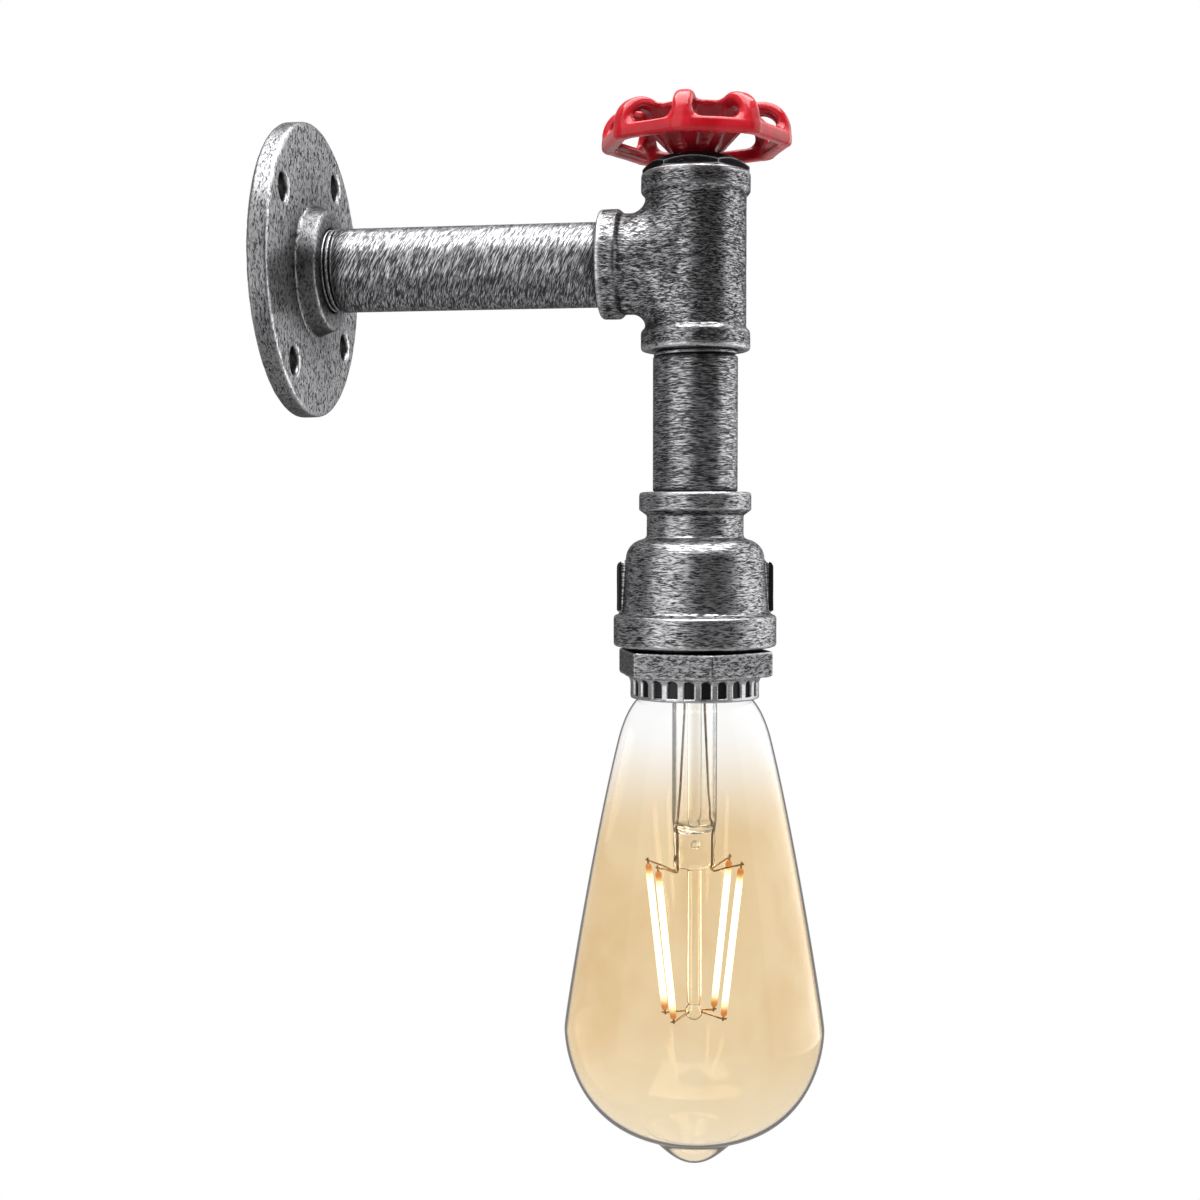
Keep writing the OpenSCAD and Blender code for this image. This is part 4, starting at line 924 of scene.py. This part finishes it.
def skirtShape(s):
    low, high, r = s["low"], s["high"], s["radius"]
    out, up = s["flare"]
    outline = [(s["mouth"], low), (r - 0.35, low), (r - 0.12, low + 0.1), (r, low + 0.35)]  # rounded lower edge
    outline += [(r, s["slotLow"] - 0.05), (r, s["slotLow"] + 0.05)]
    outline += [(r, z) for z in np.linspace(s["slotLow"] + 0.3, high - up, 8)]
    for a in np.radians(np.linspace(175, 90, 16)):
        outline.append((r + out + out * math.cos(a), high - up + up * math.sin(a)))
    outline += [(s["sleeve"], high), (s["sleeve"], s["top"]), (s["bore"], s["top"]), (s["bore"], low + s["boreUp"]),
                (s["mouth"], low + s["mouthUp"])]
    return turned(outline, s["around"], "z", cutSlots)


placePiece("slotted_skirt", *skirtShape(skirt), skirtMetal, "fixture", "silvered_casting", "holder_skirt")

# screw cap with a rolled thread that fades out at both ends
cap = {"rim": -105.3, "shoulder": -85.1, "inner": 11.98, "crest": 13.08, "root": 12.35, "pitch": 3.63, "step": 0.15,
       "lowFade": (1.5, 2.0), "topFade": (2.0, 1.5), "outside": 12.5, "threadTop": 1.9, "collar": 10.0, "around": 128}


def rolledThread(radius, place, angle):
    c = cap
    phase = 2 * math.pi * place / c["pitch"] - angle
    lowFade = np.clip((place - c["rim"] - c["lowFade"][0]) / c["lowFade"][1], 0, 1)
    topFade = np.clip((c["shoulder"] - c["topFade"][0] - place) / c["topFade"][1], 0, 1)
    low = c["crest"] + (c["root"] - c["crest"]) * (lowFade * topFade)
    rolled = (c["crest"] + low) / 2 + (c["crest"] - low) / 2 * np.cos(phase)
    return np.where((radius > c["outside"]) & (place < c["shoulder"] - c["threadTop"]), rolled, radius)


def capShape(c):
    top, crest, collar = c["shoulder"], c["crest"], c["collar"]
    outer = [(crest, z) for z in np.arange(c["rim"], top - c["topFade"][0], c["step"])]
    outline = [(c["inner"], c["rim"])] + outer + [
        (crest - 0.1, top - 1.7), (crest - 0.7, top - 0.6), (collar + 0.4, top + 0.4), (collar, top),
        (collar, top - 0.4), (crest - 1.1, top - 1.2), (c["inner"], top - 2.2)]
    return turned(outline, c["around"], "z", rolledThread)


placePiece("threaded_cap", *capShape(cap), small["nickel"], "bulb", "nickel", "bulb_cap")
print("bulb made")

# finishes on the solids that keep their own shape
finishes = {
    "wheel_washer": "zinc_steel", "wheel_bolt": "zinc_steel", "holder_liner": "fibre_liner",
    "holder_base": "white_ceramic", "screw_shell": "brass", "centre_contact": "brass", "contact_rivet": "brass",
    "terminal_screws": "brass", "line_wire": "brown_insulation", "neutral_wire": "blue_insulation",
    "earth_wire": "green_insulation", "earth_lug": "zinc_steel", "earth_screw": "zinc_steel",
    "cap_insulator": "black_insulator", "cap_contact": "solder", "driver_board": "green_board",
    "driver_capacitor": "capacitor_sleeve"}
giveFinish(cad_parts["top_plug"].data, blackIron)
for node, name in finishes.items():
    giveFinish(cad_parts[node].data, small[name])
print("finishes set:", len(finishes) + 1)

# studio: white backdrop, dim room behind the camera, soft boxes left, right and above
studio = {"fill": 0.14, "room": 0.06, "backdrop": 0.46, "roomEdge": (-0.35, 0.45), "floor": -0.6, "floorSize": 8.0,
          "floorSides": 64, "floorGloss": 0.5, "shadowKept": 0.3, "shadowReach": (0.45, 1.2),
          "target": (0.09, 0.0, -0.07)}
softBoxes = {
    "left_box": {"turn": -36.0, "rise": 10.0, "far": 0.85, "size": (0.9, 1.2), "power": 5.6},
    "right_box": {"turn": 114.0, "rise": 10.0, "far": 0.85, "size": (1.3, 1.2), "power": 7.4},
    "top_box": {"turn": 9.0, "rise": 86.0, "far": 0.8, "size": (1.0, 0.95), "power": 24.0}}


# light paths, the share seen directly or through glass, and that share with mirror images
def seenDirectly(tree):
    path = addNode(tree, "ShaderNodeLightPath").outputs
    looked = calc(tree, "MAXIMUM", path["Is Camera Ray"], path["Is Transmission Ray"])
    return path, looked, calc(tree, "MAXIMUM", looked, path["Is Glossy Ray"])


def makeWorld(s):
    world = bpy.data.worlds.new("studio")
    bpy.context.scene.world = world
    world.use_nodes = True
    tree = world.node_tree
    tree.nodes.clear()
    path, looked, seen = seenDirectly(tree)
    ahead = axesOf(tree, addNode(tree, "ShaderNodeTexCoord").outputs["Generated"])[1]
    backdrop = ease(tree, ahead, *s["roomEdge"], s["room"], s["backdrop"])
    shown = calc(tree, "MAXIMUM", looked, calc(tree, "MULTIPLY", path["Is Glossy Ray"], backdrop))
    dim = calc(tree, "MULTIPLY", s["fill"], calc(tree, "SUBTRACT", 1.0, seen))
    sky = addNode(tree, "ShaderNodeBackground", {"Color": (1, 1, 1, 1), "Strength": calc(tree, "ADD", shown, dim)})
    addNode(tree, "ShaderNodeOutputWorld", {"Surface": sky.outputs[0]})


def makeFloor(s):
    mesh = bpy.data.meshes.new("floor")
    size, sides = s["floorSize"], s["floorSides"]
    angles = np.linspace(0, 2 * math.pi, sides + 1)[:-1]
    mesh.from_pydata([(size * math.cos(a), size * math.sin(a), s["floor"]) for a in angles], [], [list(range(sides))])
    floor = addObject("floor", mesh)
    material, tree, shader = newMaterial("pale_floor", {"Base Color": (0.9, 0.9, 0.9, 1), "Roughness": 0.8})
    path, _, seen = seenDirectly(tree)
    white = ease(tree, lengthOf(tree, spotOf(tree)), *s["shadowReach"], 1.0 - s["shadowKept"], 1.0)
    level = mirrorLevel(tree, path, s["floorGloss"])
    glow = addNode(tree, "ShaderNodeEmission", {"Color": (1, 1, 1, 1), "Strength": level})
    both = addNode(tree, "ShaderNodeMixShader", {
        0: calc(tree, "MULTIPLY", seen, white), 1: shader.outputs[0], 2: glow.outputs[0]})
    output = next(n for n in tree.nodes if n.type == "OUTPUT_MATERIAL")
    tree.links.new(both.outputs[0], output.inputs["Surface"])
    mesh.materials.append(material)


def makeLamps(boxes, target):
    for name, box in boxes.items():
        away = directionOf(box["turn"], box["rise"])
        data = bpy.data.lights.new(name, "AREA")
        data.shape = "RECTANGLE"
        data.size, data.size_y = box["size"]
        data.energy = box["power"]
        lamp = addObject(name, data)
        lamp.location = Vector(target) + away * box["far"]
        lamp.rotation_euler = away.to_track_quat("Z", "Y").to_euler()


makeWorld(studio)
makeFloor(studio)
makeLamps(softBoxes, studio["target"])
print("studio set")
